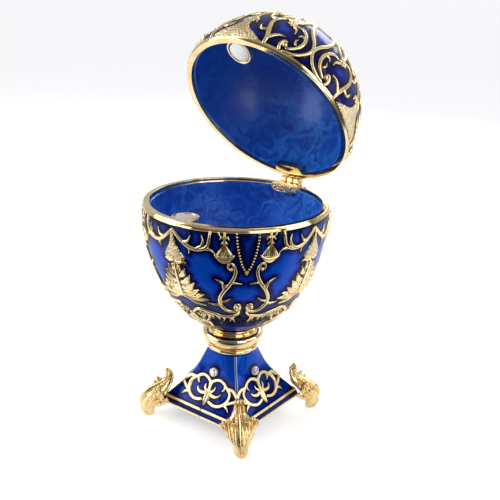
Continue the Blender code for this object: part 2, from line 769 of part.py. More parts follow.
def build_collar(finish):
    """Build the turned collar between the bowl and the base."""
    profile = [
        (0.0, COLLAR_TOP),
        (COLLAR_LIP_RADIUS, COLLAR_TOP),
        (COLLAR_LIP_RADIUS, COLLAR_TOP - COLLAR_LIP_DEPTH),
        (COLLAR_NECK_RADIUS, COLLAR_TOP - COLLAR_NECK_LENGTH / 2.0),
        (COLLAR_NECK_RADIUS, COLLAR_RING_LEVEL + COLLAR_RING_HALF),
    ]
    profile += half_round(COLLAR_RING_RADIUS, COLLAR_RING_HALF, COLLAR_RING_LEVEL, 6)
    profile += [
        (COLLAR_GROOVE_RADIUS, COLLAR_RING_LEVEL - COLLAR_RING_HALF),
        (COLLAR_GROOVE_RADIUS, COLLAR_GROOVE_LEVEL),
    ]
    profile += half_round(COLLAR_BEAD_RADIUS, COLLAR_BEAD_HALF, COLLAR_BEAD_LEVEL, 4)[1:]
    profile.append((0.0, COLLAR_BOTTOM))
    return add_object(spun(profile, COLLAR_SEGMENTS), "collar", finish)


def build_crystal(name, azimuth, face, finish):
    """Build a cut crystal lying on one face of the base."""
    level = CRYSTAL_LEVEL * face.length
    seat = face.point(0.0, level, 0.0)
    lifted = face.point(0.0, level, CRYSTAL_HEIGHT)
    out = (lifted - seat).normalized()
    bm = bmesh.new()
    bmesh.ops.create_cone(
        bm,
        cap_ends=True,
        segments=CRYSTAL_SIDES,
        radius1=CRYSTAL_RADIUS,
        radius2=CRYSTAL_TABLE,
        depth=CRYSTAL_HEIGHT,
    )
    bmesh.ops.rotate(bm, verts=bm.verts, matrix=out.to_track_quat("Z", "Y").to_matrix())
    centre = seat + out * (CLEARANCE + BASE_SCROLL_LIFT / 2.0 + CRYSTAL_HEIGHT / 2.0)
    bmesh.ops.translate(bm, verts=bm.verts, vec=centre)
    bmesh.ops.rotate(bm, verts=bm.verts, matrix=Matrix.Rotation(azimuth, 3, "Z"))
    return add_object(bm, name, finish)


def swing_open(part, hinge):
    """Turn a piece of the lid about the hinge axis and set its origin there."""
    part.data.transform(Matrix.Translation(part.location - hinge))
    part.data.transform(Matrix.Rotation(-LID_OPEN_ANGLE, 4, "X"))
    part.location = hinge


def build_lid(finish_skin, hinge):
    """Build the lid shut, then swing it open."""
    rim = RIM_HEIGHT + CLEARANCE
    skin = Skin(LID_RISE, LID_CLIMB, rim, 1.0, LID_DRAWN_LENGTH)
    inner = lining(rim, 1.0, LID_RISE, WALL)
    crown = rim + LID_CLIMB
    cap = [(LID_CROWN_RADIUS / 2.0, crown + CROWN_LIFT), (0.0, crown + CROWN_LIFT * 1.3)]
    lid = shell("lid", skin, LID_STROKES, inner, (LID_CROWN_RADIUS, crown), finish_skin, cap)
    add_boss(lid, rim, 1.0)
    add_pad(lid, rim, 1.0, False)
    swing_open(lid, hinge)
    return lid


def build_bowl(finish_skin):
    """Build the bowl with its boss, pad and stud."""
    skin = Skin(BOWL_DEPTH, BOWL_DROP, RIM_HEIGHT, -1.0, BOWL_DRAWN_LENGTH)
    inner = lining(RIM_HEIGHT, -1.0, BOWL_DROP, FLOOR)
    bottom = RIM_HEIGHT - BOWL_DROP
    cap = [(0.0, bottom)]
    bowl = shell("bowl", skin, BOWL_STROKES, inner, (BOWL_SEAT_RADIUS, bottom), finish_skin, cap)
    add_boss(bowl, RIM_HEIGHT, -1.0)
    add_pad(bowl, RIM_HEIGHT, -1.0, True)
    return bowl


def centre_on_origin():
    """Shift the finished pieces so that their common box is centred on the Z axis."""
    pieces = [piece for piece in bpy.context.scene.objects if piece.type == "MESH"]
    reach = [piece.location.y + vertex.co.y for piece in pieces for vertex in piece.data.vertices]
    shift = -round((min(reach) + max(reach)) / 2.0 / PLACE_STEP) * PLACE_STEP
    for piece in pieces:
        piece.location.y += shift


def main():
    """Build the whole box, open as it stands."""
    clear_scene()
    gold = material("gold", GOLD, 1.0, 0.22)
    enamel = material("enamel", ENAMEL_BLUE, 0.0, 0.08)
    silver = material("silver", SILVER, 1.0, 0.18)
    crystal = material("crystal", CRYSTAL_WHITE, 0.0, 0.02, 0.6)

    hinge = Vector((0.0, HINGE_OUT, RIM_HEIGHT + CLEARANCE / 2.0))
    build_bowl(enamel)
    build_lid(enamel, hinge)
    build_magnet("magnet_bowl", RIM_HEIGHT, -1.0, silver)
    swing_open(build_magnet("magnet_lid", RIM_HEIGHT + CLEARANCE, 1.0, silver), hinge)

    step = KNUCKLE_LENGTH + CLEARANCE
    start = -KNUCKLE_LENGTH / 2.0
    build_leaf("hinge_leaf_bowl", hinge, -1.0, (start - step, start + step), gold)
    swing_open(build_leaf("hinge_leaf_lid", hinge, 1.0, (start,), gold), hinge)
    length = KNUCKLE_LENGTH * 3.0 + CLEARANCE * 2.0 + PIN_HEAD * 2.0
    add_object(cylinder(PIN_RADIUS, length, hinge, "X", BARREL_SIDES), "hinge_pin", gold)

    build_collar(gold)
    face = BaseFace()
    build_base(face, enamel)
    for index in range(4):
        turn = math.pi / 2.0 * index
        build_crystal(f"crystal_{index + 1}", turn, face, crystal)
        build_foot(f"foot_{index + 1}", turn + math.pi / 4.0, face, gold)
    centre_on_origin()


main()
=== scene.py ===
"""Looks of an egg-shaped trinket box: enamel, gilt scrollwork, marbled lining and studio.

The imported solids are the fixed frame. Each sub-assembly is a class that builds its
meshes in millimetres about the egg's axis, with the lid shut and the rim plane at
height zero, and then puts them where the frame has the solids.
"""

import json
import logging
import math
from dataclasses import dataclass
from enum import Enum
from typing import Callable, Sequence

import bmesh
import bpy
import numpy as np
from mathutils import Matrix, Vector
from mathutils.kdtree import KDTree


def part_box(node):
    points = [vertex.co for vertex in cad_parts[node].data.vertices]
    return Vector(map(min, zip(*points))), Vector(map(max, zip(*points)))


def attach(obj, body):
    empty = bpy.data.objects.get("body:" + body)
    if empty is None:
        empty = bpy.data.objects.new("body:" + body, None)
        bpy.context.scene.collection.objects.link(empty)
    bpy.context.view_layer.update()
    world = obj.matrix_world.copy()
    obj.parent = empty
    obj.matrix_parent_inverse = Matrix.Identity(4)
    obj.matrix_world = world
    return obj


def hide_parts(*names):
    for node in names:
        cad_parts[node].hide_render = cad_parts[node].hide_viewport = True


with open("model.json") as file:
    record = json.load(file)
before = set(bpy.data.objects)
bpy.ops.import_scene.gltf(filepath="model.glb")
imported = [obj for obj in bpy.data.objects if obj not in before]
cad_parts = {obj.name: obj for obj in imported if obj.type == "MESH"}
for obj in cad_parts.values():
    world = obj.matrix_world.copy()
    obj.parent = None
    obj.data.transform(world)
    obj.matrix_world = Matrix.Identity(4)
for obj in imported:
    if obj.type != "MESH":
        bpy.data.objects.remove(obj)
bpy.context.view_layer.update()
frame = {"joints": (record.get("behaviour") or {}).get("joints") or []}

LOG = logging.getLogger("egg_box")
MM = 0.001
QUARTER = math.pi / 2.0
BLACK = (0.0, 0.0, 0.0)
WHITE = (1.0, 1.0, 1.0)

# Lengths in millimetres. A stroke has its full height from a certain half width on, and
# its root reaches down into the enamel.
FAR_FROM_GOLD = 9.0
WELD = 0.002
END_ROUNDING = 0.6
FULL_HEIGHT_WIDTH = 0.42
ROOT_DEPTH = 0.35
RING_PACE = 0.5
PIT_PITCH = 0.85
PIT_EDGE = 0.3

# Shares of a stroke's size: its end rings, the rounded edge of a wide stroke, its flutes,
# and the closer rings and the pits of a matted one.
END_STEPS = np.array([0.0, 0.08, 0.25, 0.55, 0.85])
EDGE_SHARE = 0.12
FLUTE_DEPTH = 0.14
FLUTES = 8.0
MATTED_PACE = 0.56
PIT_DEPTH = 0.16

# Millimetres per degree where the chains hang, and points of the gold that a distance to
# the gold is taken from.
CHAIN_SCALE = 0.52
NEIGHBOURS = 6

Places = Sequence[tuple[float, ...]]
Triple = tuple[float, float, float]
Colour = Triple
Input = bpy.types.NodeSocket | float | tuple[float, ...]


class Slot(Enum):
    """Material slots of the record."""

    ENAMEL = "enamel"
    GOLD = "gold"
    SILVER = "silver"
    CRYSTAL = "crystal"


class Section(Enum):
    """Cross-sections of the raised work."""

    ROUND = "round"
    FLAT = "flat"
    LEAF = "leaf"
    FLUTED = "fluted"
    MATTED = "matted"

    def outline(self) -> np.ndarray:
        """Return the section from foot to foot as shares of half width and height."""
        if self is Section.ROUND:
            angle = np.linspace(0.0, math.pi, 9)
            return np.stack((np.cos(angle), np.sin(angle) ** 0.7), 1)
        if self is Section.FLAT:
            half = [(1.0, 0.0), (0.94, 0.7), (0.78, 1.0), (0.0, 1.04)]
        elif self is Section.LEAF:
            half = [(1.0, 0.0), (0.86, 0.55), (0.5, 0.92), (0.2, 0.8), (0.0, 0.5)]
        else:
            share = np.linspace(1.0, -1.0, 31)
            edge = np.clip((1.0 - np.abs(share)) / EDGE_SHARE, 0.0, 1.0) ** 0.5
            if self is Section.FLUTED:
                edge = edge * (1.0 - FLUTE_DEPTH + FLUTE_DEPTH * np.cos(share * math.pi * FLUTES))
            return np.stack((share, edge), 1)
        return np.array(half + [(-across, height) for across, height in half[-2::-1]])


def smooth_path(points: Places, pieces: int = 12) -> np.ndarray:
    """Run a smooth curve through points.

    Args:
        points: The points to pass through, of any dimension.
        pieces: Steps between two points.

    Returns:
        The points of the curve, the given ones among them.
    """
    knots = np.array(points, dtype=float)
    if len(knots) == 2:
        share = np.linspace(0.0, 1.0, pieces + 1)[:, None]
        return knots[0] * (1.0 - share) + knots[1] * share
    knots = np.vstack((2.0 * knots[0] - knots[1], knots, 2.0 * knots[-1] - knots[-2]))
    path = []
    for before, start, end, after in zip(knots, knots[1:], knots[2:], knots[3:]):
        for share in np.linspace(0.0, 1.0, pieces, endpoint=False):
            value = 2.0 * start + (end - before) * share
            value = value + (2.0 * before - 5.0 * start + 4.0 * end - after) * share**2
            value = value + (3.0 * start - before - 3.0 * end + after) * share**3
            path.append(value / 2.0)
    path.append(knots[-2])
    return np.array(path)


def distances(steps: np.ndarray) -> np.ndarray:
    """Return the distance from the start at each point of a path, from its steps."""
    return np.concatenate(([0.0], np.cumsum(steps)))


def resampled(path: np.ndarray, run: np.ndarray, places: np.ndarray) -> np.ndarray:
    """Return the points of a path at given distances along it."""
    return np.stack([np.interp(places, run, path[:, axis]) for axis in range(path.shape[1])], 1)


def rounded_ends(
    widths: np.ndarray, run: np.ndarray, reaches: Sequence[float], least: float
) -> np.ndarray:
    """Narrow the widths of a path towards both ends, as a half round does.

    Args:
        widths: Half widths at the points of the path.
        run: Distances of those points from the start.
        reaches: Lengths that are rounded at the start and at the end.
        least: Smallest share of the squared width that is left.

    Returns:
        The new half widths.
    """
    for gap, reach in zip((run, run[-1] - run), reaches):
        share = np.clip(gap / reach, 0.0, 1.0)
        widths = widths * np.sqrt(np.clip(1.0 - (1.0 - share) ** 2, least, 1.0))
    return widths


def quarter_angle(place: Vector) -> float:
    """Return the angle between a place and the middle of its quarter."""
    angle = math.atan2(place.x, -place.y)
    return abs((angle + QUARTER / 2.0) % QUARTER - QUARTER / 2.0)


def shaped_grid(bm: bmesh.types.BMesh, rows: np.ndarray) -> list[bmesh.types.BMVert]:
    """Add a grid of faces whose corners take their places from an array.

    Args:
        bm: The bmesh that receives the grid.
        rows: Places as an array of rows by columns by three.

    Returns:
        The grid's corners.
    """
    count, width = rows.shape[:2]
    made = bmesh.ops.create_grid(bm, x_segments=width - 1, y_segments=count - 1, size=0.5)["verts"]
    for vert in made:
        column = round((vert.co.x + 0.5) * (width - 1))
        row = round((vert.co.y + 0.5) * (count - 1))
        vert.co = rows[row, column]
    return made


def add_tube(bm: bmesh.types.BMesh, rings: np.ndarray, material: int = 0) -> None:
    """Add a closed tube through rings of points, with its two ends filled.

    Args:
        bm: The bmesh that receives the tube.
        rings: Places as an array of rings by points by three.
        material: Index of the faces' material.
    """
    looped = np.concatenate((rings, rings[:, :1]), axis=1)
    made = shaped_grid(bm, looped)
    bmesh.ops.remove_doubles(bm, verts=made, dist=WELD * 0.1)
    made = [vert for vert in made if vert.is_valid]
    open_edges = {edge for vert in made for edge in vert.link_edges if edge.is_boundary}
    bmesh.ops.holes_fill(bm, edges=list(open_edges), sides=0)
    if material:
        for face in {face for vert in made for face in vert.link_faces}:
            face.material_index = material


def add_spun(bm: bmesh.types.BMesh, profile: Places, steps: int, material: int = 0) -> None:
    """Turn a profile of (radius, height) about the Z axis into a bmesh.

    Args:
        bm: The bmesh that receives the faces.
        profile: Radius and height of each point of the profile.
        steps: Facets in one full turn.
        material: Index of the faces' material.
    """
    part = bmesh.new()
    verts = [part.verts.new((0.0, -radius, height)) for radius, height in profile]
    edges = [part.edges.new(pair) for pair in zip(verts, verts[1:])]
    bmesh.ops.spin(
        part,
        geom=verts + edges,
        cent=(0.0, 0.0, 0.0),
        axis=(0.0, 0.0, 1.0),
        angle=QUARTER,
        steps=steps // 4,
    )
    add_repeats(part, 4)
    bmesh.ops.remove_doubles(part, verts=part.verts, dist=WELD)
    for face in part.faces:
        face.material_index = material
    mesh = bpy.data.meshes.new("turned_part")
    part.to_mesh(mesh)
    part.free()
    bm.from_mesh(mesh)
    bpy.data.meshes.remove(mesh)


def add_repeats(bm: bmesh.types.BMesh, copies: int) -> None:
    """Repeat the whole bmesh about the Z axis, that many times in all."""
    bmesh.ops.spin(
        bm,
        geom=list(bm.verts) + list(bm.edges) + list(bm.faces),
        cent=(0.0, 0.0, 0.0),
        axis=(0.0, 0.0, 1.0),
        angle=2.0 * math.pi * (copies - 1) / copies,
        steps=copies - 1,
        use_duplicate=True,
    )


def turned(profile: Places, steps: int) -> bmesh.types.BMesh:
    """Return a closed solid turned from a profile that starts and ends on the axis."""
    bm = bmesh.new()
    add_spun(bm, profile, steps)
    bmesh.ops.remove_doubles(bm, verts=bm.verts, dist=WELD)
    return bm


def add_cylinder(
    bm: bmesh.types.BMesh,
    radius: float,
    length: float,
    matrix: Matrix,
    bevel: float = 0.0,
    sides: int = 48,
) -> None:
    """Add a cylinder, its rims rounded.

    Args:
        bm: The bmesh that receives it.
        radius: Its radius.
        length: Its height.
        matrix: Place and direction of its middle.
        bevel: Rounding of the two rims.
        sides: Facets round it.
    """
    made = bmesh.ops.create_cone(
        bm,
        cap_ends=True,
        segments=sides,
        radius1=radius,
        radius2=radius,
        depth=length,
        matrix=matrix,
    )["verts"]
    if bevel > 0.0:
        rims = {edge for vert in made for edge in vert.link_edges}
        rims = [edge for edge in rims if any(len(face.verts) > 4 for face in edge.link_faces)]
        round_edges(bm, rims, bevel)


def round_edges(bm: bmesh.types.BMesh, edges: Sequence[bmesh.types.BMEdge], width: float) -> None:
    """Round off edges of a bmesh."""
    bmesh.ops.bevel(
        bm,
        geom=list(edges),
        offset=width,
        affect="EDGES",
        segments=3,
        profile=0.5,
        material=-1,
        clamp_overlap=True,
    )


@dataclass(frozen=True)
class Seat:
    """Where the egg's axis, its rim and its hinge are in the frame, in metres."""

    axis_y: float
    rim: float
    hinge: Vector
    angle: float

    def resting(self) -> Matrix:
        """Return the placement of a piece that stays with the box."""
        return Matrix.Translation((0.0, self.axis_y, self.rim)) @ Matrix.Scale(MM, 4)

    def swung(self, lift: float = 0.0) -> Matrix:
        """Return the placement of a piece of the lid, which stands open at rest.

        Args:
            lift: How far in metres its zero level lies above the bowl's rim when shut.

        Returns:
            The placement.
        """
        turn = Matrix.Rotation(-self.angle, 4, "X")
        about = Matrix.Translation(self.hinge) @ turn @ Matrix.Translation(-self.hinge)
        return about @ Matrix.Translation((0.0, 0.0, lift)) @ self.resting()


def read_seat() -> Seat:
    """Take the seat of the egg from the frame's boxes and its hinge joint."""
    low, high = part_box("collar")
    joint = frame["joints"][0]
    return Seat(
        axis_y=(low.y + high.y) / 2.0,
        rim=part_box("bowl")[1].z,
        hinge=Vector(joint["pos_m"]),
        angle=math.radians(max(abs(limit) for limit in joint["range_deg"])),
    )


def put_piece(
    bm: bmesh.types.BMesh,
    name: str,
    place: Matrix,
    finishes: Sequence[bpy.types.Material],
    body: str,
    nodes: Sequence[str] = (),
    sharp: float = 50.0,
) -> bpy.types.Object:
    """Turn a bmesh into a finished piece that rides on a body.

    Args:
        bm: The piece in millimetres about the egg's axis. It is used up.
        name: The piece's name.
        place: Matrix from the bmesh to the frame.
        finishes: Materials, in the order of the faces' indices.
        body: Body that the piece moves with.
        nodes: Solids that the piece stands for.
        sharp: Angle in degrees above which an edge stays sharp.

    Returns:
        The new object, at the origin, with its place in its mesh.
    """
    bmesh.ops.recalc_face_normals(bm, faces=bm.faces)
    bmesh.ops.transform(bm, matrix=place, verts=bm.verts)
    mesh = bpy.data.meshes.new(name)
    bm.to_mesh(mesh)
    bm.free()
    for finish in finishes:
        mesh.materials.append(finish)
    mesh.shade_smooth()
    mesh.set_sharp_from_angle(angle=math.radians(sharp))
    piece = bpy.data.objects.new(name, mesh)
    bpy.context.scene.collection.objects.link(piece)
    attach(piece, body)
    if nodes:
        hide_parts(*nodes)
    LOG.info("%s: %d faces", name, len(mesh.polygons))
    return piece


@dataclass(frozen=True)
class EggChart:
    """Skin of one half of the egg, addressed by degrees round and distance from the rim.

    Height zero is the rim plane. The bowl has sign -1 and the lid has sign 1.
    """

    rise: float
    last_depth: float
    sign: float
    radius: float = 30.2
    lip: float = 0.9
    lip_height: float = 3.5

    def __post_init__(self) -> None:
        """Measure the profile once."""
        depth = np.linspace(0.0, self.last_depth, 600)
        off = self.lip * np.clip(1.0 - depth / self.lip_height, 0.0, 1.0) ** 2
        radii = self.radius * np.sqrt(np.clip(1.0 - (depth / self.rise) ** 2, 0.0, 1.0)) - off
        slope = np.stack((np.gradient(radii), np.gradient(depth)), 1)
        slope /= np.linalg.norm(slope, axis=1)[:, None]
        run = distances(np.hypot(np.diff(radii), np.diff(depth)))
        object.__setattr__(self, "run", run)
        object.__setattr__(self, "radii", radii)
        object.__setattr__(self, "heights", depth * self.sign)
        object.__setattr__(self, "out", slope[:, 1])
        object.__setattr__(self, "up", -slope[:, 0] * self.sign)

    @property
    def length(self) -> float:
        """Distance along the skin from the rim to the end of the profile."""
        return float(self.run[-1])

    def scale(self, along: np.ndarray) -> np.ndarray:
        """Return millimetres per degree at distances from the rim."""
        return math.radians(1.0) * np.interp(along, self.run, self.radii)

    def points(self, across: np.ndarray, along: np.ndarray, lift: np.ndarray) -> np.ndarray:
        """Return the places of chart points lifted off the skin."""
        radius = np.interp(along, self.run, self.radii)
        radius = radius + lift * np.interp(along, self.run, self.out)
        height = np.interp(along, self.run, self.heights)
        height = height + lift * np.interp(along, self.run, self.up)
        angle = np.radians(across)
        return np.stack((radius * np.sin(angle), -radius * np.cos(angle), height), -1)

    def profile(self, start: float, step: float) -> list[tuple[float, float]]:
        """Return (radius, height) along the skin from a distance to its end."""
        along = np.linspace(start, self.length, max(2, round((self.length - start) / step)))
        radii = np.interp(along, self.run, self.radii)
        heights = np.interp(along, self.run, self.heights)
        return [(float(radius), float(height)) for radius, height in zip(radii, heights)]


@dataclass(frozen=True)
class FaceChart:
    """One hollow-curved face of the base, addressed by offset and distance from its foot."""

    bottom: float
    height: float = 20.3
    corner: float = 24.0
    levels: tuple[float, ...] = (0.0, 0.094, 0.217, 0.424, 0.700, 1.0)
    corners: tuple[float, ...] = (1.0, 0.983, 0.858, 0.667, 0.483, 0.354)
    swells: tuple[float, ...] = (0.0, 0.0, 0.010, 0.021, 0.046, 0.083)

    def __post_init__(self) -> None:
        """Measure the face's middle line once."""
        shares = np.linspace(0.0, 1.0, 300)
        half = self.rounded(np.interp(shares, self.levels, self.corners))
        half = half * self.corner / math.sqrt(2.0)
        swell = self.rounded(np.interp(shares, self.levels, self.swells)) * self.corner
        heights = self.bottom + self.height * shares
        slope = np.stack((np.gradient(half + swell), np.gradient(heights)), 1)
        slope /= np.linalg.norm(slope, axis=1)[:, None]
        run = distances(np.hypot(np.diff(half + swell), np.diff(heights)))
        object.__setattr__(self, "run", run)
        object.__setattr__(self, "half", half)
        object.__setattr__(self, "swell", swell)
        object.__setattr__(self, "heights", heights)
        object.__setattr__(self, "out", slope[:, 1])
        object.__setattr__(self, "up", -slope[:, 0])

    @staticmethod
    def rounded(values: np.ndarray, reach: int = 15) -> np.ndarray:
        """Round off the corners of a row of values, the ends kept."""
        padded = np.pad(values, reach, mode="reflect", reflect_type="odd")
        width = 2 * reach + 1
        return np.convolve(padded, np.ones(width) / width, mode="valid")

    @property
    def length(self) -> float:
        """Distance along the face from its bottom edge to its neck."""
        return float(self.run[-1])

    def scale(self, along: np.ndarray) -> np.ndarray:
        """Return millimetres per unit of offset, which is one everywhere."""
        return np.ones_like(np.asarray(along, dtype=float))

    def width(self, along: np.ndarray) -> np.ndarray:
        """Return the half width of the face at distances from its bottom edge."""
        return np.interp(along, self.run, self.half)

    def points(self, across: np.ndarray, along: np.ndarray, lift: np.ndarray) -> np.ndarray:
        """Return the places of chart points lifted off the front face."""
        half = self.width(along)
        share = np.clip(across / half, -1.0, 1.0)
        y = -half - np.interp(along, self.run, self.swell) * (1.0 - share**2)
        x = share * half
        away = np.hypot(x, y)
        out = lift * np.interp(along, self.run, self.out) / away
        height = np.interp(along, self.run, self.heights)
        height = height + lift * np.interp(along, self.run, self.up)
        return np.stack((x * (1.0 + out), y * (1.0 + out), height), -1)


Chart = EggChart | FaceChart


@dataclass(frozen=True)
class Stroke:
    """One raised line, leaf or plate drawn on a chart.

    Points are across and along the chart, widths are half widths in millimetres spaced
    evenly from start to end. A stroke on an axis lies on a mirror line of the chart.
    """

    points: Places
    widths: tuple[float, ...]
    section: Section = Section.ROUND
    height: float = 0.55
    axial: bool = False

    def rings(self, chart: Chart) -> tuple[np.ndarray, np.ndarray]:
        """Lay the stroke on a chart.

        Args:
            chart: The skin that carries it.

        Returns:
            The rings of a closed tube, and rows of centre place and half width.
        """
        rough = smooth_path(self.points)
        middle = (rough[1:, 1] + rough[:-1, 1]) / 2.0
        run = distances(np.hypot(np.diff(rough[:, 0]) * chart.scale(middle), np.diff(rough[:, 1])))
        places = self.stations(run[-1])
        path = resampled(rough, run, places)
        spread = np.linspace(0.0, 1.0, len(self.widths))
        half = np.interp(places / run[-1], spread, self.widths)
        half = rounded_ends(half, places, self.reaches(), 0.02)
        scale = chart.scale(path[:, 1])
        run_across = np.gradient(path[:, 0], places) * scale
        run_along = np.gradient(path[:, 1], places)
        norm = np.hypot(run_across, run_along)
        outline = self.section.outline()
        offset = outline[:, 0][None, :] * half[:, None]
        rise = np.clip(half / FULL_HEIGHT_WIDTH, 0.3, 1.0) * self.height
        lift = outline[:, 1][None, :] * rise[:, None]
        if self.section is Section.MATTED:
            lift = lift - self.pits(offset, places)
        feet = np.array([-1.0, 1.0])[None, :] * half[:, None]
        offset = np.concatenate((offset, feet), axis=1)
        lift = np.concatenate((lift, np.full_like(feet, -ROOT_DEPTH)), axis=1)
        across = path[:, :1] - offset * (run_along / norm / scale)[:, None]
        along = path[:, 1:] + offset * (run_across / norm)[:, None]
        centre = chart.points(path[:, 0], path[:, 1], np.zeros(len(path)))
        centres = np.concatenate((centre, half[:, None]), axis=1)
        return chart.points(across, along, lift), centres

    def reaches(self) -> list[float]:
        """Return the lengths that are rounded at the start and at the end."""
        return [min(self.widths[0], END_ROUNDING), min(self.widths[-1], END_ROUNDING)]

    def stations(self, length: float) -> np.ndarray:
        """Return the distances of the rings along the stroke, closer at its ends."""
        start, end = (min(reach, length / 3.0) for reach in self.reaches())
        first = END_STEPS * start
        last = length - END_STEPS[::-1] * end
        pace = RING_PACE * (MATTED_PACE if self.section is Section.MATTED else 1.0)
        count = max(3, round((last[0] - first[-1]) / pace)) + 1
        inner = np.linspace(first[-1], last[0], count)
        return np.concatenate((first, inner[1:-1], last))

    def pits(self, offset: np.ndarray, places: np.ndarray) -> np.ndarray:
        """Return the depth of the small punched pits on a matted ground."""
        turn = 2.0 * math.pi / PIT_PITCH
        wave = np.cos(offset * turn) * np.cos(places[:, None] * turn)
        away = np.abs(offset)
        inside = np.clip((away.max(axis=1, keepdims=True) - away) / PIT_EDGE, 0.0, 1.0)
        return PIT_DEPTH * np.clip(wave * 1.6, 0.0, 1.0) * inside * self.height


@dataclass(frozen=True)
class Knob:
    """A small dome on a chart, such as the ball in a curl or a bead of a chain."""

    across: float
    along: float
    radius: float
    height: float = 1.0
    axial: bool = False


def flower(
    across: float, along: float, size: float, petals: int, scale: float
) -> list[Stroke | Knob]:
    """Return the petals and the eye of a flower.

    Args:
        across: Middle of the flower across the chart.
        along: Middle of the flower along the chart.
        size: Radius of the flower.
        petals: How many petals it has.
        scale: Millimetres per unit across the chart there.

    Returns:
        Its strokes and its eye.
    """
    made: list[Stroke | Knob] = [Knob(across, along, size * 0.34, 1.5, across == 0.0)]
    for petal in range(petals):
        angle = 2.0 * math.pi * petal / petals
        run, rise = math.sin(angle), -math.cos(angle)
        if across == 0.0 and run < -1e-6:
            continue
        inner = (across + run * size * 0.2 / scale, along + rise * size * 0.2)
        outer = (across + run * size / scale, along + rise * size)
        axial = across == 0.0 and abs(run) < 1e-6
        widths = (size * 0.16, size * 0.42, size * 0.3)
        made.append(Stroke((inner, outer), widths, Section.LEAF, 0.62, axial))
    return made


def chain(points: Places, radius: float, pitch: float) -> list[Stroke | Knob]:
    """Return the beads of a chain that hangs along a path of the bowl's skin.

    Args:
        points: Path of the chain on the chart.
        radius: Radius of a bead.
        pitch: Distance between two beads.

    Returns:
        The beads.
    """
    path = smooth_path(points)
    run = distances(np.hypot(np.diff(path[:, 0]) * CHAIN_SCALE, np.diff(path[:, 1])))
    beads = resampled(path, run, np.linspace(0.0, run[-1], round(run[-1] / pitch) + 1))
    return [Knob(float(across), float(along), radius, 1.15) for across, along in beads]


class Scrollwork:
    """All the raised gold of one chart, drawn on half of one quarter and repeated."""

    def __init__(self, chart: Chart, parts: Sequence[Stroke | Knob]) -> None:
        """Lay the parts on the chart and note where the gold is.

        Args:
            chart: The skin that carries the gold.
            parts: What lies on half of one quarter.
        """
        self.chart = chart
        self.tubes: list[tuple[np.ndarray, bool, int]] = []
        self.knobs: list[Knob] = []
        rows = []
        for part in parts:
            if isinstance(part, Knob):
                self.knobs.append(part)
                place = chart.points(np.array([part.across]), np.array([part.along]), np.zeros(1))
                rows.append(np.append(place[0], part.radius)[None, :])
                continue
            rings, centres = part.rings(chart)
            self.tubes.append((rings, part.axial, int(part.section is Section.MATTED)))
            rows.append(centres)
        self.centres = np.concatenate(rows)
        self.tree = KDTree(len(self.centres))
        for index, row in enumerate(self.centres):
            self.tree.insert(row[:3], index)
        self.tree.balance()

    def gap(self, place: Vector) -> float:
        """Return how far a place of the skin is from the nearest gold."""
        folded = quarter_angle(place)
        radius = math.hypot(place.x, place.y)
        query = (radius * math.sin(folded), -radius * math.cos(folded), place.z)
        near = self.tree.find_n(query, NEIGHBOURS)
        return max(0.0, min(distance - self.centres[index, 3] for _, index, distance in near))

    def mesh(self) -> bmesh.types.BMesh:
        """Build the raised gold all round."""
        bm = bmesh.new()
        for rings, axial, material in self.tubes:
            add_tube(bm, rings, material)
            if not axial:
                add_tube(bm, rings * np.array([-1.0, 1.0, 1.0]), material)
        for knob in self.knobs:
            for side in (1.0,) if knob.axial else (1.0, -1.0):
                self.add_knob(bm, knob, side)
        add_repeats(bm, 4)
        return bm

    def add_knob(self, bm: bmesh.types.BMesh, knob: Knob, side: float) -> None:
        """Add one dome, on either side of the mirror line."""
        middle = np.full(2, knob.across), np.full(2, knob.along)
        ends = self.chart.points(*middle, np.array([0.0, 1.0]))
        seat, tip = (Vector(row) * Vector((side, 1.0, 1.0)) for row in ends)
        turn = (tip - seat).normalized().to_track_quat("Z", "Y").to_matrix().to_4x4()
        scale = Matrix.Diagonal((knob.radius, knob.radius, knob.radius * knob.height, 1.0))
        bmesh.ops.create_icosphere(
            bm, subdivisions=2, radius=1.0, matrix=Matrix.Translation(seat) @ turn @ scale
        )


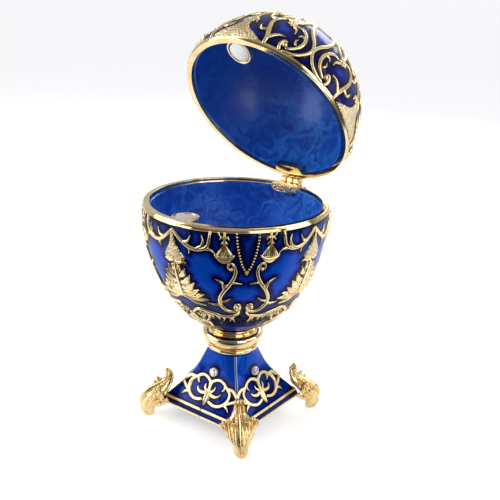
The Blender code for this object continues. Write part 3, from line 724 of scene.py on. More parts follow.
class NodeSheet:
    """A node tree with short words for adding and joining nodes."""

    def __init__(self, tree: bpy.types.NodeTree) -> None:
        """Keep the tree."""
        self.tree = tree

    def give(self, socket: bpy.types.NodeSocket, value: Input) -> None:
        """Join another socket to a socket, or set a value on it.

        Args:
            socket: The input that receives it.
            value: An output, a number, a vector or a colour.
        """
        if isinstance(value, bpy.types.NodeSocket):
            self.tree.links.new(value, socket)
        elif socket.type == "RGBA":
            socket.default_value = (*value, 1.0)
        else:
            socket.default_value = value

    def add(self, kind: str, **values: object) -> bpy.types.Node:
        """Add a node.

        Args:
            kind: The node's type name.
            **values: Attributes of the node, or sockets by their names with underscores.

        Returns:
            The new node.
        """
        node = self.tree.nodes.new(kind)
        sockets = {socket.name.replace(" ", "_"): socket for socket in reversed(node.inputs)}
        for name, value in values.items():
            if name in sockets:
                self.give(sockets[name], value)
            else:
                setattr(node, name, value)
        return node

    def place(self) -> bpy.types.NodeSocket:
        """Return the Object coordinates."""
        return self.add("ShaderNodeTexCoord").outputs["Object"]

    def maths(self, operation: str, *values: Input, clamp: bool = False) -> bpy.types.NodeSocket:
        """Add a Math node.

        Args:
            operation: Its operation.
            *values: Its two or three values.
            clamp: Whether the result stays between zero and one.

        Returns:
            Its result.
        """
        node = self.add("ShaderNodeMath", operation=operation, use_clamp=clamp)
        for socket, value in zip(node.inputs, values):
            self.give(socket, value)
        return node.outputs[0]

    def vectors(self, operation: str, first: Input, second: Input) -> bpy.types.Node:
        """Add a Vector Math node on two vectors and return it."""
        node = self.add("ShaderNodeVectorMath", operation=operation)
        self.give(node.inputs[0], first)
        self.give(node.inputs[1], second)
        return node

    def reach(self, place: Input, direction: Triple, low: float, high: float) -> bpy.types.NodeSocket:
        """Return how far a place lies along a direction, as a share between two limits.

        Args:
            place: Coordinates.
            direction: The direction.
            low: Distance that gives zero.
            high: Distance that gives one.

        Returns:
            The share.
        """
        along = self.vectors("DOT_PRODUCT", place, direction).outputs["Value"]
        return self.add("ShaderNodeMapRange", Value=along, From_Min=low, From_Max=high).outputs[0]

    def ramp(
        self, value: bpy.types.NodeSocket, stops: Sequence[tuple[float, Colour]]
    ) -> bpy.types.NodeSocket:
        """Add an eased colour ramp.

        Args:
            value: What it reads.
            stops: Place and colour of each stop.

        Returns:
            Its colour.
        """
        node = self.tree.nodes.new("ShaderNodeValToRGB")
        node.color_ramp.interpolation = "EASE"
        elements = node.color_ramp.elements
        while len(elements) < len(stops):
            elements.new(0.5)
        for element, (place, colour) in zip(elements, stops):
            element.position = place
            element.color = (*colour, 1.0)
        self.tree.links.new(value, node.inputs["Fac"])
        return node.outputs["Color"]

    def blend(self, kind: str, share: Input, first: Input, second: Input) -> bpy.types.NodeSocket:
        """Mix two colours.

        Args:
            kind: Blending mode.
            share: Share of the second colour.
            first: First colour.
            second: Second colour.

        Returns:
            The mixed colour.
        """
        node = self.add("ShaderNodeMix", data_type="RGBA", blend_type=kind)
        colours = [socket for socket in node.inputs if socket.type == "RGBA"]
        for socket, value in zip((node.inputs[0], *colours), (share, first, second)):
            self.give(socket, value)
        return next(socket for socket in node.outputs if socket.type == "RGBA")

    def noise(
        self,
        size: float,
        detail: float = 2.0,
        bend: float = 0.0,
        vector: bpy.types.NodeSocket | None = None,
        output: str = "Fac",
    ) -> bpy.types.NodeSocket:
        """Add a noise.

        Args:
            size: Size of its features in millimetres.
            detail: Octaves of detail.
            bend: Distortion.
            vector: Its coordinates, Object coordinates when left out.
            output: Which of its outputs is wanted.

        Returns:
            That output.
        """
        node = self.add(
            "ShaderNodeTexNoise",
            Vector=self.place() if vector is None else vector,
            Scale=1.0 / (size * MM),
            Detail=detail,
            Distortion=bend,
        )
        return node.outputs[output]


def handling_group() -> bpy.types.NodeTree:
    """Build the node group for wear: faint smears, fine scratches and small waves.

    Returns:
        A group with the input Size and the outputs Smear and Height.
    """
    tree = bpy.data.node_groups.new("handling", "ShaderNodeTree")
    size = tree.interface.new_socket(name="Size", in_out="INPUT", socket_type="NodeSocketFloat")
    size.default_value = 1.0
    for name in ("Smear", "Height"):
        tree.interface.new_socket(name=name, in_out="OUTPUT", socket_type="NodeSocketFloat")
    sheet = NodeSheet(tree)
    given = sheet.add("NodeGroupInput")
    scaled = sheet.add(
        "ShaderNodeVectorMath", operation="SCALE", Vector=sheet.place(), Scale=given.outputs["Size"]
    ).outputs[0]
    stretch = sheet.add("ShaderNodeMapping", Vector=scaled, Scale=(1.0, 9.0, 1.0)).outputs[0]
    scratches = sheet.maths("MULTIPLY", sheet.noise(0.9, 2.0, 0.0, stretch), 0.25)
    waves = sheet.noise(2.2, 2.0, 0.2, scaled)
    result = sheet.add("NodeGroupOutput")
    sheet.give(result.inputs["Smear"], sheet.noise(5.0, 3.0, 0.6, scaled))
    sheet.give(result.inputs["Height"], sheet.maths("ADD", scratches, waves))
    return tree


class Surface:
    """A new material with its node sheet, its shader and its wear."""

    def __init__(self, name: str, handling: bpy.types.NodeTree, size: float) -> None:
        """Make the material and place the wear in it.

        Args:
            name: The material's name.
            handling: The node group for wear.
            size: Scale of the wear's coordinates.
        """
        self.material = bpy.data.materials.new(name)
        self.material.use_nodes = True
        self.sheet = NodeSheet(self.material.node_tree)
        self.shader = self.material.node_tree.nodes["Principled BSDF"]
        wear = self.sheet.add("ShaderNodeGroup", node_tree=handling)
        wear.inputs["Size"].default_value = size
        self.smear = wear.outputs["Smear"]
        self.height = wear.outputs["Height"]

    def finished(
        self,
        colour: bpy.types.NodeSocket,
        roughness: float,
        smears: float,
        waves: float,
        strength: float = 1.0,
        **values: float,
    ) -> bpy.types.Material:
        """Join colour, roughness and bump to the shader and set its plain values.

        Args:
            colour: The base colour.
            roughness: Roughness where there is no smear.
            smears: Roughness that a full smear adds.
            waves: Depth of the bump in millimetres.
            strength: Strength of the bump.
            **values: Other inputs of the shader by their names with underscores.

        Returns:
            The material.
        """
        inputs = self.shader.inputs
        rough = self.sheet.maths("MULTIPLY_ADD", self.smear, smears, roughness)
        bump = self.sheet.add(
            "ShaderNodeBump", Height=self.height, Strength=strength, Distance=waves * MM
        )
        self.sheet.give(inputs["Base Color"], colour)
        self.sheet.give(inputs["Roughness"], rough)
        self.sheet.give(inputs["Normal"], bump.outputs["Normal"])
        for name, value in values.items():
            inputs[name.replace("_", " ")].default_value = value
        return self.material


@dataclass(frozen=True)
class GoldFinish:
    """Polished pale gold plating over cast metal, with small pits where it is matted."""

    name: str
    light: Colour
    deep: Colour
    roughness: float
    waves: float = 0.03
    pits: float = 0.0
    pit_size: float = 0.55
    pit_shade: Colour = (0.42, 0.28, 0.10)

    def build(self, handling: bpy.types.NodeTree) -> bpy.types.Material:
        """Make the material, its deeper tone where it is clean and its lighter one in smears.

        Args:
            handling: The node group for wear.

        Returns:
            The material.
        """
        made = Surface(self.name, handling, 1.0)
        sheet = made.sheet
        colour = sheet.ramp(made.smear, ((0.25, self.deep), (0.62, self.light)))
        if self.pits > 0.0:
            cells = sheet.add(
                "ShaderNodeTexVoronoi", Vector=sheet.place(), Scale=1.0 / (self.pit_size * MM)
            ).outputs["Distance"]
            made.height = sheet.maths("ADD", made.height, sheet.maths("MULTIPLY", cells, self.pits))
            # Painted shade in the pits, darkest at their middles.
            punched = sheet.ramp(cells, ((0.10, self.pit_shade), (0.40, WHITE)))
            colour = sheet.blend("MULTIPLY", 1.0, colour, punched)
        return made.finished(colour, self.roughness - 0.07, 0.14, self.waves, Metallic=1.0)


@dataclass(frozen=True)
class EnamelFinish:
    """Translucent blue enamel, dark beside the gold: thin there, and painted shade along the raised gold.
    """

    name: str
    # From the gold outwards: near black at its foot, then thin enamel with painted shade, then the
    # field's full colour.
    edge: Colour = (0.001, 0.0015, 0.014)
    shade: Colour = (0.001, 0.005, 0.09)
    field: Colour = (0.001, 0.026, 0.30)
    bright: Colour = (0.001, 0.060, 0.46)
    # Painted highlight: the pale line along the base's ridges.
    line: Colour = (0.55, 0.72, 1.0)
    reach: float = 2.0

    def build(self, handling: bpy.types.NodeTree) -> bpy.types.Material:
        """Make the material from the skin's gold_gap, tone and ridge attributes: painted shade by the
        gold and low down, a painted highlight on the ridges.

        Args:
            handling: The node group for wear.

        Returns:
            The material.
        """
        made = Surface(self.name, handling, 0.8)
        sheet = made.sheet
        gap, tone, ridge = (
            sheet.add("ShaderNodeAttribute", attribute_name=name).outputs["Fac"]
            for name in ("gold_gap", "tone", "ridge")
        )
        # Painted shade with thin enamel: darker close to the gold, scaled by the field's tone.
        share = sheet.maths("MULTIPLY", sheet.maths("MULTIPLY", gap, 1.0 / self.reach), tone)
        # Slow random drift of the fields' brightness: partly tone, partly a painted sheen.
        tone_and_painted_sheen = sheet.maths("MULTIPLY_ADD", sheet.noise(9.0, 2.0, 1.0), 1.3, 0.12)
        share = sheet.maths("MULTIPLY", share, tone_and_painted_sheen, clamp=True)
        colour = sheet.ramp(
            share,
            ((0.0, self.edge), (0.10, self.edge), (0.28, self.shade), (0.58, self.field),
            (1.0, self.bright)),
        )
        # Painted highlight along the base's ridges.
        colour = sheet.blend("MIX", ridge, colour, self.line)
        return made.finished(
            colour, 0.22, 0.16, 0.05,
            Metallic=0.4, Coat_Weight=0.45, Coat_Roughness=0.03, Coat_IOR=1.35, Specular_IOR_Level=0.0,
        )


@dataclass(frozen=True)
class LiningFinish:
    """Marbled pearly blue lacquer inside the egg, with painted light and shade: darker towards one side,
    lighter towards the other.
    """

    name: str = "marbled_lining"
    deep: Colour = (0.001, 0.048, 0.34)
    middle: Colour = (0.001, 0.17, 0.98)
    wisp: Colour = (0.07, 0.36, 1.0)
    strength: float = 1.1
    swirl: float = 0.012
    # Painted light and shade: its direction across the lining, where it is darkest and lightest, and the
    # least light left to the wisps.
    slope: Triple = (0.6, 0.0, -0.8)
    dark_end: float = -0.100
    light_end: float = -0.055
    least_light: float = 0.12

    def build(self, handling: bpy.types.NodeTree) -> bpy.types.Material:
        """Make the material with its large clouds, its thin bent wisps and its painted light and shade.

        Args:
            handling: The node group for wear.

        Returns:
            The material.
        """
        made = Surface(self.name, handling, 0.6)
        sheet = made.sheet
        warp = sheet.vectors("SUBTRACT", sheet.noise(9.0, output="Color"), (0.5, 0.5, 0.5))
        swirl = sheet.add(
            "ShaderNodeVectorMath", operation="SCALE", Vector=warp.outputs[0], Scale=self.swirl
        )
        bent = sheet.vectors("ADD", sheet.place(), swirl.outputs[0]).outputs[0]
        clouds = sheet.noise(12.0, 2.0, 0.4, bent)
        brushed = sheet.ramp(
            sheet.noise(7.5, 1.5, 0.5, bent), ((0.36, BLACK), (0.50, WHITE), (0.58, BLACK), (0.72, WHITE))
        )
        hairs = sheet.ramp(
            sheet.noise(3.6, 2.0, 0.8, bent), ((0.40, BLACK), (0.52, WHITE), (0.60, BLACK))
        )
        wisps = sheet.maths("ADD", brushed, sheet.maths("MULTIPLY", hairs, 0.6))
        # Painted light and shade across the lining; the wisps fade where it is painted dark.
        lit = sheet.reach(sheet.place(), self.slope, self.dark_end, self.light_end)
        base = sheet.blend("MIX", sheet.maths("MULTIPLY", lit, clouds), self.deep, self.middle)
        fading = sheet.maths("MULTIPLY", sheet.noise(10.0, 1.0), self.strength)
        share = sheet.maths("MULTIPLY", wisps, fading)
        share = sheet.maths("MULTIPLY", share, sheet.maths("MAXIMUM", lit, self.least_light), clamp=True)
        colour = sheet.blend("MIX", share, base, self.wisp)
        return made.finished(
            colour, 0.30, 0.2, 0.10, Metallic=0.15, Coat_Weight=0.4, Coat_Roughness=0.16
        )


@dataclass(frozen=True)
class PlainFinish:
    """A finish of two colours: close ones on the magnet plate; on the crystal, dark and pale patches as a
    painted sparkle.
    """

    name: str
    first: Colour
    second: Colour
    roughness: float
    metallic: float
    size: float = 3.0

    def build(self, handling: bpy.types.NodeTree) -> bpy.types.Material:
        """Make the material, its second colour in the smears.

        Args:
            handling: The node group for wear.

        Returns:
            The material.
        """
        made = Surface(self.name, handling, 1.0 / self.size)
        colour = made.sheet.ramp(made.smear, ((0.3, self.first), (0.7, self.second)))
        return made.finished(colour, self.roughness, 0.1, 0.02, 0.5, Metallic=self.metallic)


class Palette:
    """All the finishes of the box."""

    def __init__(self) -> None:
        """Build each finish once."""
        handling = handling_group()
        self.gold = GoldFinish("pale_gold", (0.98, 0.80, 0.50), (0.84, 0.60, 0.27), 0.16).build(handling)
        self.polished_gold = GoldFinish(
            "polished_gold", (0.97, 0.77, 0.45), (0.82, 0.57, 0.24), 0.09, waves=0.012
        ).build(handling)
        # A darker copy of the gold for the feet: painted shade.
        self.foot_gold = GoldFinish(
            "foot_gold", (0.95, 0.74, 0.39), (0.72, 0.48, 0.18), 0.15, waves=0.05
        ).build(handling)
        self.scroll_gold = GoldFinish(
            "scroll_gold", (1.0, 0.84, 0.52), (0.90, 0.64, 0.29), 0.22, waves=0.05
        ).build(handling)
        self.satin_gold = GoldFinish(
            "satin_gold", (1.0, 0.86, 0.56), (0.93, 0.71, 0.38), 0.40
        ).build(handling)
        self.matted_gold = GoldFinish(
            "matted_gold", (1.0, 0.86, 0.55), (0.92, 0.69, 0.36), 0.28, waves=0.10, pits=2.6
        ).build(handling)
        self.bowl_enamel = EnamelFinish("bowl_enamel").build(handling)
        # The lid's copy of the enamel is darker all over: painted shade.
        self.lid_enamel = EnamelFinish(
            "lid_enamel",
            shade=(0.002, 0.004, 0.09),
            field=(0.003, 0.008, 0.19),
            bright=(0.003, 0.045, 0.45),
        ).build(handling)
        self.base_enamel = EnamelFinish("base_enamel", shade=(0.001, 0.012, 0.17)).build(handling)
        self.lining = LiningFinish().build(handling)
        self.silver = PlainFinish(
            "magnet_plate", (0.80, 0.79, 0.76), (0.90, 0.90, 0.88), 0.30, 0.5
        ).build(handling)
        # Dark purple-grey and near white patches: a painted sparkle of the facets.
        self.crystal = PlainFinish(
            "cut_crystal", (0.34, 0.32, 0.52), (0.92, 0.92, 0.98), 0.0, 0.85, size=0.6
        ).build(handling)


def write_skin_values(
    piece: bpy.types.Object,
    place: Matrix,
    gap: Callable[[Vector], float],
    tone: Callable[[Vector], float],
    ridge: Callable[[Vector], float],
) -> None:
    """Write the attributes that the enamel reads on each corner of a skin.

    Args:
        piece: The piece that has the skin.
        place: Matrix from the chart to the piece.
        gap: Gives the distance to the nearest gold at a place of the chart.
        tone: Gives how bright the field is at a place of the chart, painted shade included.
        ridge: Gives the share of the painted highlight, a pale line, at a place of the chart.
    """
    back = place.inverted()
    places = [back @ vert.co for vert in piece.data.vertices]
    for name, rule in (("gold_gap", gap), ("tone", tone), ("ridge", ridge)):
        attribute = piece.data.attributes.new(name, "FLOAT", "POINT")
        attribute.data.foreach_set("value", [rule(spot) for spot in places])


BOWL_PARTS: tuple[Stroke | Knob, ...] = (
    Stroke(((0.0, 2.6), (5.0, 5.0), (10.0, 6.8), (15.0, 7.4), (20.0, 6.9), (22.8, 5.2), (24.0, 1.2)),
           (0.5, 0.62, 0.45)),
    Stroke(((7.0, 5.8), (10.4, 5.2), (12.2, 3.3)), (0.55, 0.42, 0.1)),
    Stroke(((15.5, 7.2), (18.8, 6.0), (19.6, 4.2), (18.7, 2.7)), (0.55, 0.42, 0.12)),
    Stroke(((20.5, 6.9), (24.0, 7.0), (26.8, 8.3)), (0.55, 0.34, 0.1)),
    Stroke(((9.5, 6.7), (11.2, 7.8), (10.6, 9.4)), (0.45, 0.36, 0.1)),
    Stroke(((28.6, 1.2), (28.9, 2.2), (30.0, 2.6)), (0.36, 0.3, 0.12)),
    Stroke(((32.0, 1.2), (32.0, 5.2)), (0.4, 0.4)),
    Stroke(((29.2, 3.7), (30.6, 2.7), (32.0, 3.1), (33.4, 2.7), (34.8, 3.7)),
           (0.12, 0.4, 0.34, 0.4, 0.12)),
    Stroke(((30.0, 5.0), (32.0, 4.1), (34.0, 5.0)), (0.14, 0.42, 0.14)),
    Stroke(((32.0, 5.0), (32.0, 9.0)), (0.55, 1.1, 1.8, 2.4, 2.8), Section.FLUTED, 0.75),
    Stroke(((26.2, 8.2), (28.4, 9.3), (32.0, 9.8), (35.6, 9.3), (37.6, 8.2)),
           (0.3, 0.55, 0.62, 0.55, 0.3), height=0.75),
    Stroke(((28.6, 10.2), (32.0, 10.8), (35.4, 10.2)), (0.2, 0.4, 0.2)),
    Stroke(((0.0, 3.0), (0.0, 12.2)),
           (0.32, 0.42, 0.62, 1.1, 1.9, 2.9, 3.7, 3.8), Section.MATTED, 0.7, True),
    Stroke(((0.0, 12.5), (3.6, 12.9), (5.8, 12.4), (8.4, 12.8)), (0.5, 0.6, 0.15), height=0.75),
    Knob(0.0, 2.9, 0.7, 1.2, True),
    Knob(2.4, 9.4, 0.34, 1.9),
    Knob(0.0, 7.4, 0.34, 2.0, True),
    Stroke(((36.2, 13.2), (34.4, 12.9), (34.3, 11.5), (36.4, 11.0), (38.5, 13.2), (37.6, 16.0),
           (34.5, 19.0),
            (31.0, 21.6), (28.6, 24.2), (28.6, 26.8), (31.2, 28.9), (35.0, 30.0), (39.5, 30.1),
            (42.4, 28.7),
            (41.9, 26.9), (39.3, 26.8), (38.6, 28.2)), (0.26, 0.5, 0.62, 0.6, 0.5, 0.26)),
    Knob(36.0, 13.0, 0.62, 1.2),
    Knob(39.6, 28.1, 0.85, 1.1),
    Stroke(((33.0, 19.4), (37.0, 17.9), (42.8, 18.3)), (0.55, 0.34, 0.1)),
    Stroke(((31.8, 20.6), (30.4, 18.0), (26.2, 16.8)), (0.58, 0.4, 0.1)),
    Stroke(((29.0, 25.6), (32.4, 25.4), (35.8, 24.2)), (0.45, 0.3, 0.1)),
    Stroke(((19.6, 27.0), (24.0, 27.2), (29.0, 27.0)), (0.1, 0.34, 0.42)),
    Stroke(((0.0, 25.8), (4.0, 26.2), (8.5, 27.5), (17.4, 28.3)), (0.5, 0.42, 0.42, 0.25)),
    Stroke(((41.8, 29.4), (41.6, 31.2), (38.0, 32.5), (30.0, 33.1), (22.0, 32.0), (14.0, 31.0),
           (8.0, 31.2), (2.6, 33.4)),
           (0.34, 0.5, 0.6, 0.6, 0.5)),
    Stroke(((38.4, 32.4), (37.6, 34.4), (39.4, 36.8)), (0.4, 0.36, 0.1)),
    Stroke(((34.8, 32.8), (36.0, 34.6), (35.0, 36.2)), (0.3, 0.3, 0.1)),
    Stroke(((14.4, 31.2), (17.2, 33.2), (16.0, 35.8), (11.5, 37.4), (7.4, 37.4)), (0.4, 0.52, 0.28)),
    Stroke(((9.0, 32.4), (12.4, 32.8), (13.0, 34.4), (10.6, 35.0)), (0.28, 0.42, 0.26)),
    Knob(10.2, 34.2, 0.6, 1.2),
    Stroke(((18.6, 32.2), (20.8, 34.0), (19.8, 35.6)), (0.36, 0.32, 0.1)),
    Stroke(((23.4, 32.6), (26.0, 34.4), (25.6, 35.8)), (0.36, 0.32, 0.1)),
    Stroke(((28.0, 33.0), (30.4, 34.6), (29.4, 36.2)), (0.32, 0.3, 0.1)),
    Stroke(((0.0, 33.4), (0.0, 40.0), (0.0, 47.2)), (0.8, 2.2, 1.6, 0.8), Section.LEAF, 0.6, True),
    Stroke(((1.2, 36.2), (6.5, 37.8), (8.0, 41.2)), (0.7, 0.95, 0.3), Section.LEAF),
    Stroke(((1.2, 40.6), (7.5, 42.4), (9.8, 45.6)), (0.6, 0.85, 0.3), Section.LEAF),
    Stroke(((6.0, 33.6), (10.0, 36.0), (14.0, 39.4), (15.0, 43.0)), (0.3, 0.6, 0.2), Section.LEAF),
    Stroke(((0.0, 13.2), (0.0, 20.0), (0.0, 25.8)), (0.5, 0.9, 0.9), Section.ROUND, 0.7, True),
    Stroke(((0.6, 18.4), (4.2, 17.2), (6.6, 14.8)), (0.45, 1.05, 0.2), Section.LEAF),
    Stroke(((0.8, 20.4), (5.6, 19.8), (9.4, 17.0)), (0.5, 1.2, 0.2), Section.LEAF),
    Stroke(((0.8, 22.2), (6.4, 22.2), (12.0, 19.4)), (0.5, 1.3, 0.2), Section.LEAF),
    Stroke(((0.8, 23.8), (7.2, 24.2), (14.6, 21.8)), (0.5, 1.3, 0.2), Section.LEAF),
    Stroke(((0.8, 25.2), (8.0, 26.0), (20.4, 25.6)), (0.5, 1.0, 1.0, 0.2), Section.LEAF),
    Stroke(((10.6, 25.4), (14.2, 24.2), (18.0, 23.6)), (0.4, 0.85, 0.2), Section.LEAF),
    *flower(0.0, 15.2, 1.9, 6, 0.51),
    *flower(4.6, 21.2, 1.05, 5, 0.49),
    *flower(10.0, 23.2, 0.95, 5, 0.47),
    *chain(((38.6, 1.7), (39.2, 5.0), (40.5, 8.5), (42.3, 11.8), (44.4, 13.9)), 0.37, 0.98),
    Knob(45.0, 14.5, 0.52, 1.2),
)

LID_PARTS: tuple[Stroke | Knob, ...] = (
    Stroke(((0.0, 0.9), (0.0, 9.8)), (9.6, 7.6, 4.9, 2.8, 1.8, 1.2, 0.8), Section.MATTED, 0.7, True),
    Stroke(((0.0, 9.2), (0.0, 16.0), (0.0, 29.0)), (0.7, 0.5, 0.45), axial=True),
    *flower(0.0, 10.4, 1.5, 6, 0.50),
    Stroke(((0.6, 12.6), (3.6, 11.2), (5.4, 9.2)), (0.4, 0.5, 0.12)),
    Stroke(((19.4, 1.0), (18.8, 4.0), (15.6, 8.4), (13.6, 12.0), (14.4, 15.6), (18.6, 17.4),
           (23.4, 16.4)),
           (0.55, 0.75, 0.6, 0.5, 0.4)),
    Stroke(((16.6, 7.0), (12.6, 6.4), (10.4, 7.6), (9.8, 9.0)), (0.6, 0.46, 0.1)),
    Stroke(((19.2, 3.4), (21.6, 5.4), (24.6, 6.6), (27.6, 6.9)), (0.6, 0.55, 0.1)),
    Stroke(((29.0, 1.2), (27.8, 3.0), (28.6, 5.0), (30.8, 5.2)), (0.5, 0.55, 0.3)),
    Knob(30.4, 3.7, 0.85, 1.1),
    Stroke(((31.6, 2.6), (34.4, 3.5), (37.4, 5.6), (38.4, 8.8), (36.6, 12.2), (32.6, 14.6), (28.0, 14.8)),
           (0.34, 0.6, 0.66, 0.5, 0.3)),
    Stroke(((35.2, 5.6), (33.8, 7.2), (34.4, 8.8)), (0.45, 0.34, 0.1)),
    Stroke(((37.4, 10.8), (34.6, 11.0), (33.2, 9.8)), (0.45, 0.34, 0.1)),
    Stroke(((30.6, 1.5), (35.4, 1.9), (40.2, 3.2), (43.5, 5.8), (44.6, 8.4), (43.0, 11.6), (39.2, 15.2),
           (36.4, 19.4),
            (35.8, 25.0), (38.6, 30.4), (45.0, 33.6)), (0.4, 0.55, 0.6, 0.55, 0.5, 0.45)),
    *flower(24.6, 15.2, 1.55, 5, 0.46),
    Stroke(((24.0, 16.6), (21.6, 21.0), (19.2, 27.6)), (0.55, 0.45, 0.4)),
    Stroke(((25.4, 16.8), (28.6, 19.4), (31.4, 23.4), (36.0, 25.4)), (0.5, 0.48, 0.35)),
    Stroke(((26.0, 14.0), (29.6, 12.2), (30.4, 10.0)), (0.4, 0.36, 0.1)),
    Stroke(((0.0, 20.6), (8.0, 18.8), (14.6, 20.2), (20.6, 24.0)), (0.4, 0.46, 0.34)),
    Stroke(((6.0, 19.0), (8.0, 15.6), (13.8, 14.0)), (0.36, 0.42, 0.3)),
    Stroke(((19.2, 27.4), (27.0, 29.6), (33.0, 33.0), (45.0, 36.6)), (0.36, 0.5, 0.4)),
    Stroke(((0.0, 28.6), (10.0, 29.4), (19.2, 27.4)), (0.4, 0.42, 0.34)),
    Stroke(((0.0, 29.0), (0.0, 36.0), (0.0, 42.0)), (0.5, 1.5, 0.5), Section.LEAF, 0.55, True),
    *flower(0.0, 24.4, 1.7, 6, 0.40),
    *flower(19.2, 27.6, 1.2, 5, 0.36),
    Stroke(((4.0, 31.6), (20.0, 35.0), (30.0, 39.0)), (0.4, 0.7, 0.3), Section.LEAF),
    Stroke(((45.0, 36.6), (45.0, 42.6)), (0.4, 0.9, 0.4), Section.LEAF),
)


BASE_PARTS: tuple[Stroke | Knob, ...] = (
    Stroke(((0.0, 2.65), (8.0, 2.65), (16.0, 2.65)), (0.45, 0.45, 0.45), Section.FLAT, 0.35),
    Stroke(((0.0, 0.3), (8.0, 0.3), (16.8, 0.3)), (0.32, 0.32, 0.32), Section.FLAT, 0.35),
    Stroke(((0.0, 4.2), (0.0, 6.4), (0.0, 9.4)), (0.15, 0.8, 1.25, 1.25, 0.7), Section.LEAF, 0.5, True),
    Stroke(((0.0, 9.0), (0.0, 12.6)), (0.75, 0.5, 0.85), Section.FLAT, 0.45, True),
    Stroke(((0.0, 12.4), (1.6, 13.6), (3.3, 14.0), (5.0, 13.4), (6.4, 12.3), (8.6, 12.1), (10.3, 11.0),
           (11.2, 10.2)),
           (0.55, 0.5, 0.5, 0.55), Section.FLAT, 0.45),
    Stroke(((6.3, 12.4), (7.9, 11.0), (8.3, 9.2), (7.6, 7.3), (6.0, 5.9), (3.8, 5.4), (1.2, 6.1)),
           (0.5, 0.5, 0.55, 0.5), Section.FLAT, 0.45),
    Stroke(((5.4, 13.3), (5.6, 11.8), (4.9, 10.7)), (0.45, 0.36, 0.1), Section.FLAT, 0.4),
    Stroke(((0.7, 8.6), (2.6, 8.1), (4.2, 8.6), (4.9, 9.6)), (0.6, 0.55, 0.15), Section.FLAT, 0.45),
    Stroke(((0.7, 9.0), (1.9, 10.2), (2.0, 11.4)), (0.5, 0.36, 0.1), Section.FLAT, 0.4),
    Stroke(((7.6, 7.1), (9.4, 8.1), (11.8, 9.6)), (0.5, 0.5, 0.45), Section.FLAT, 0.45),
    Stroke(((7.6, 6.8), (9.0, 6.2), (10.0, 5.2)), (0.5, 0.4, 0.1), Section.FLAT, 0.4),
)


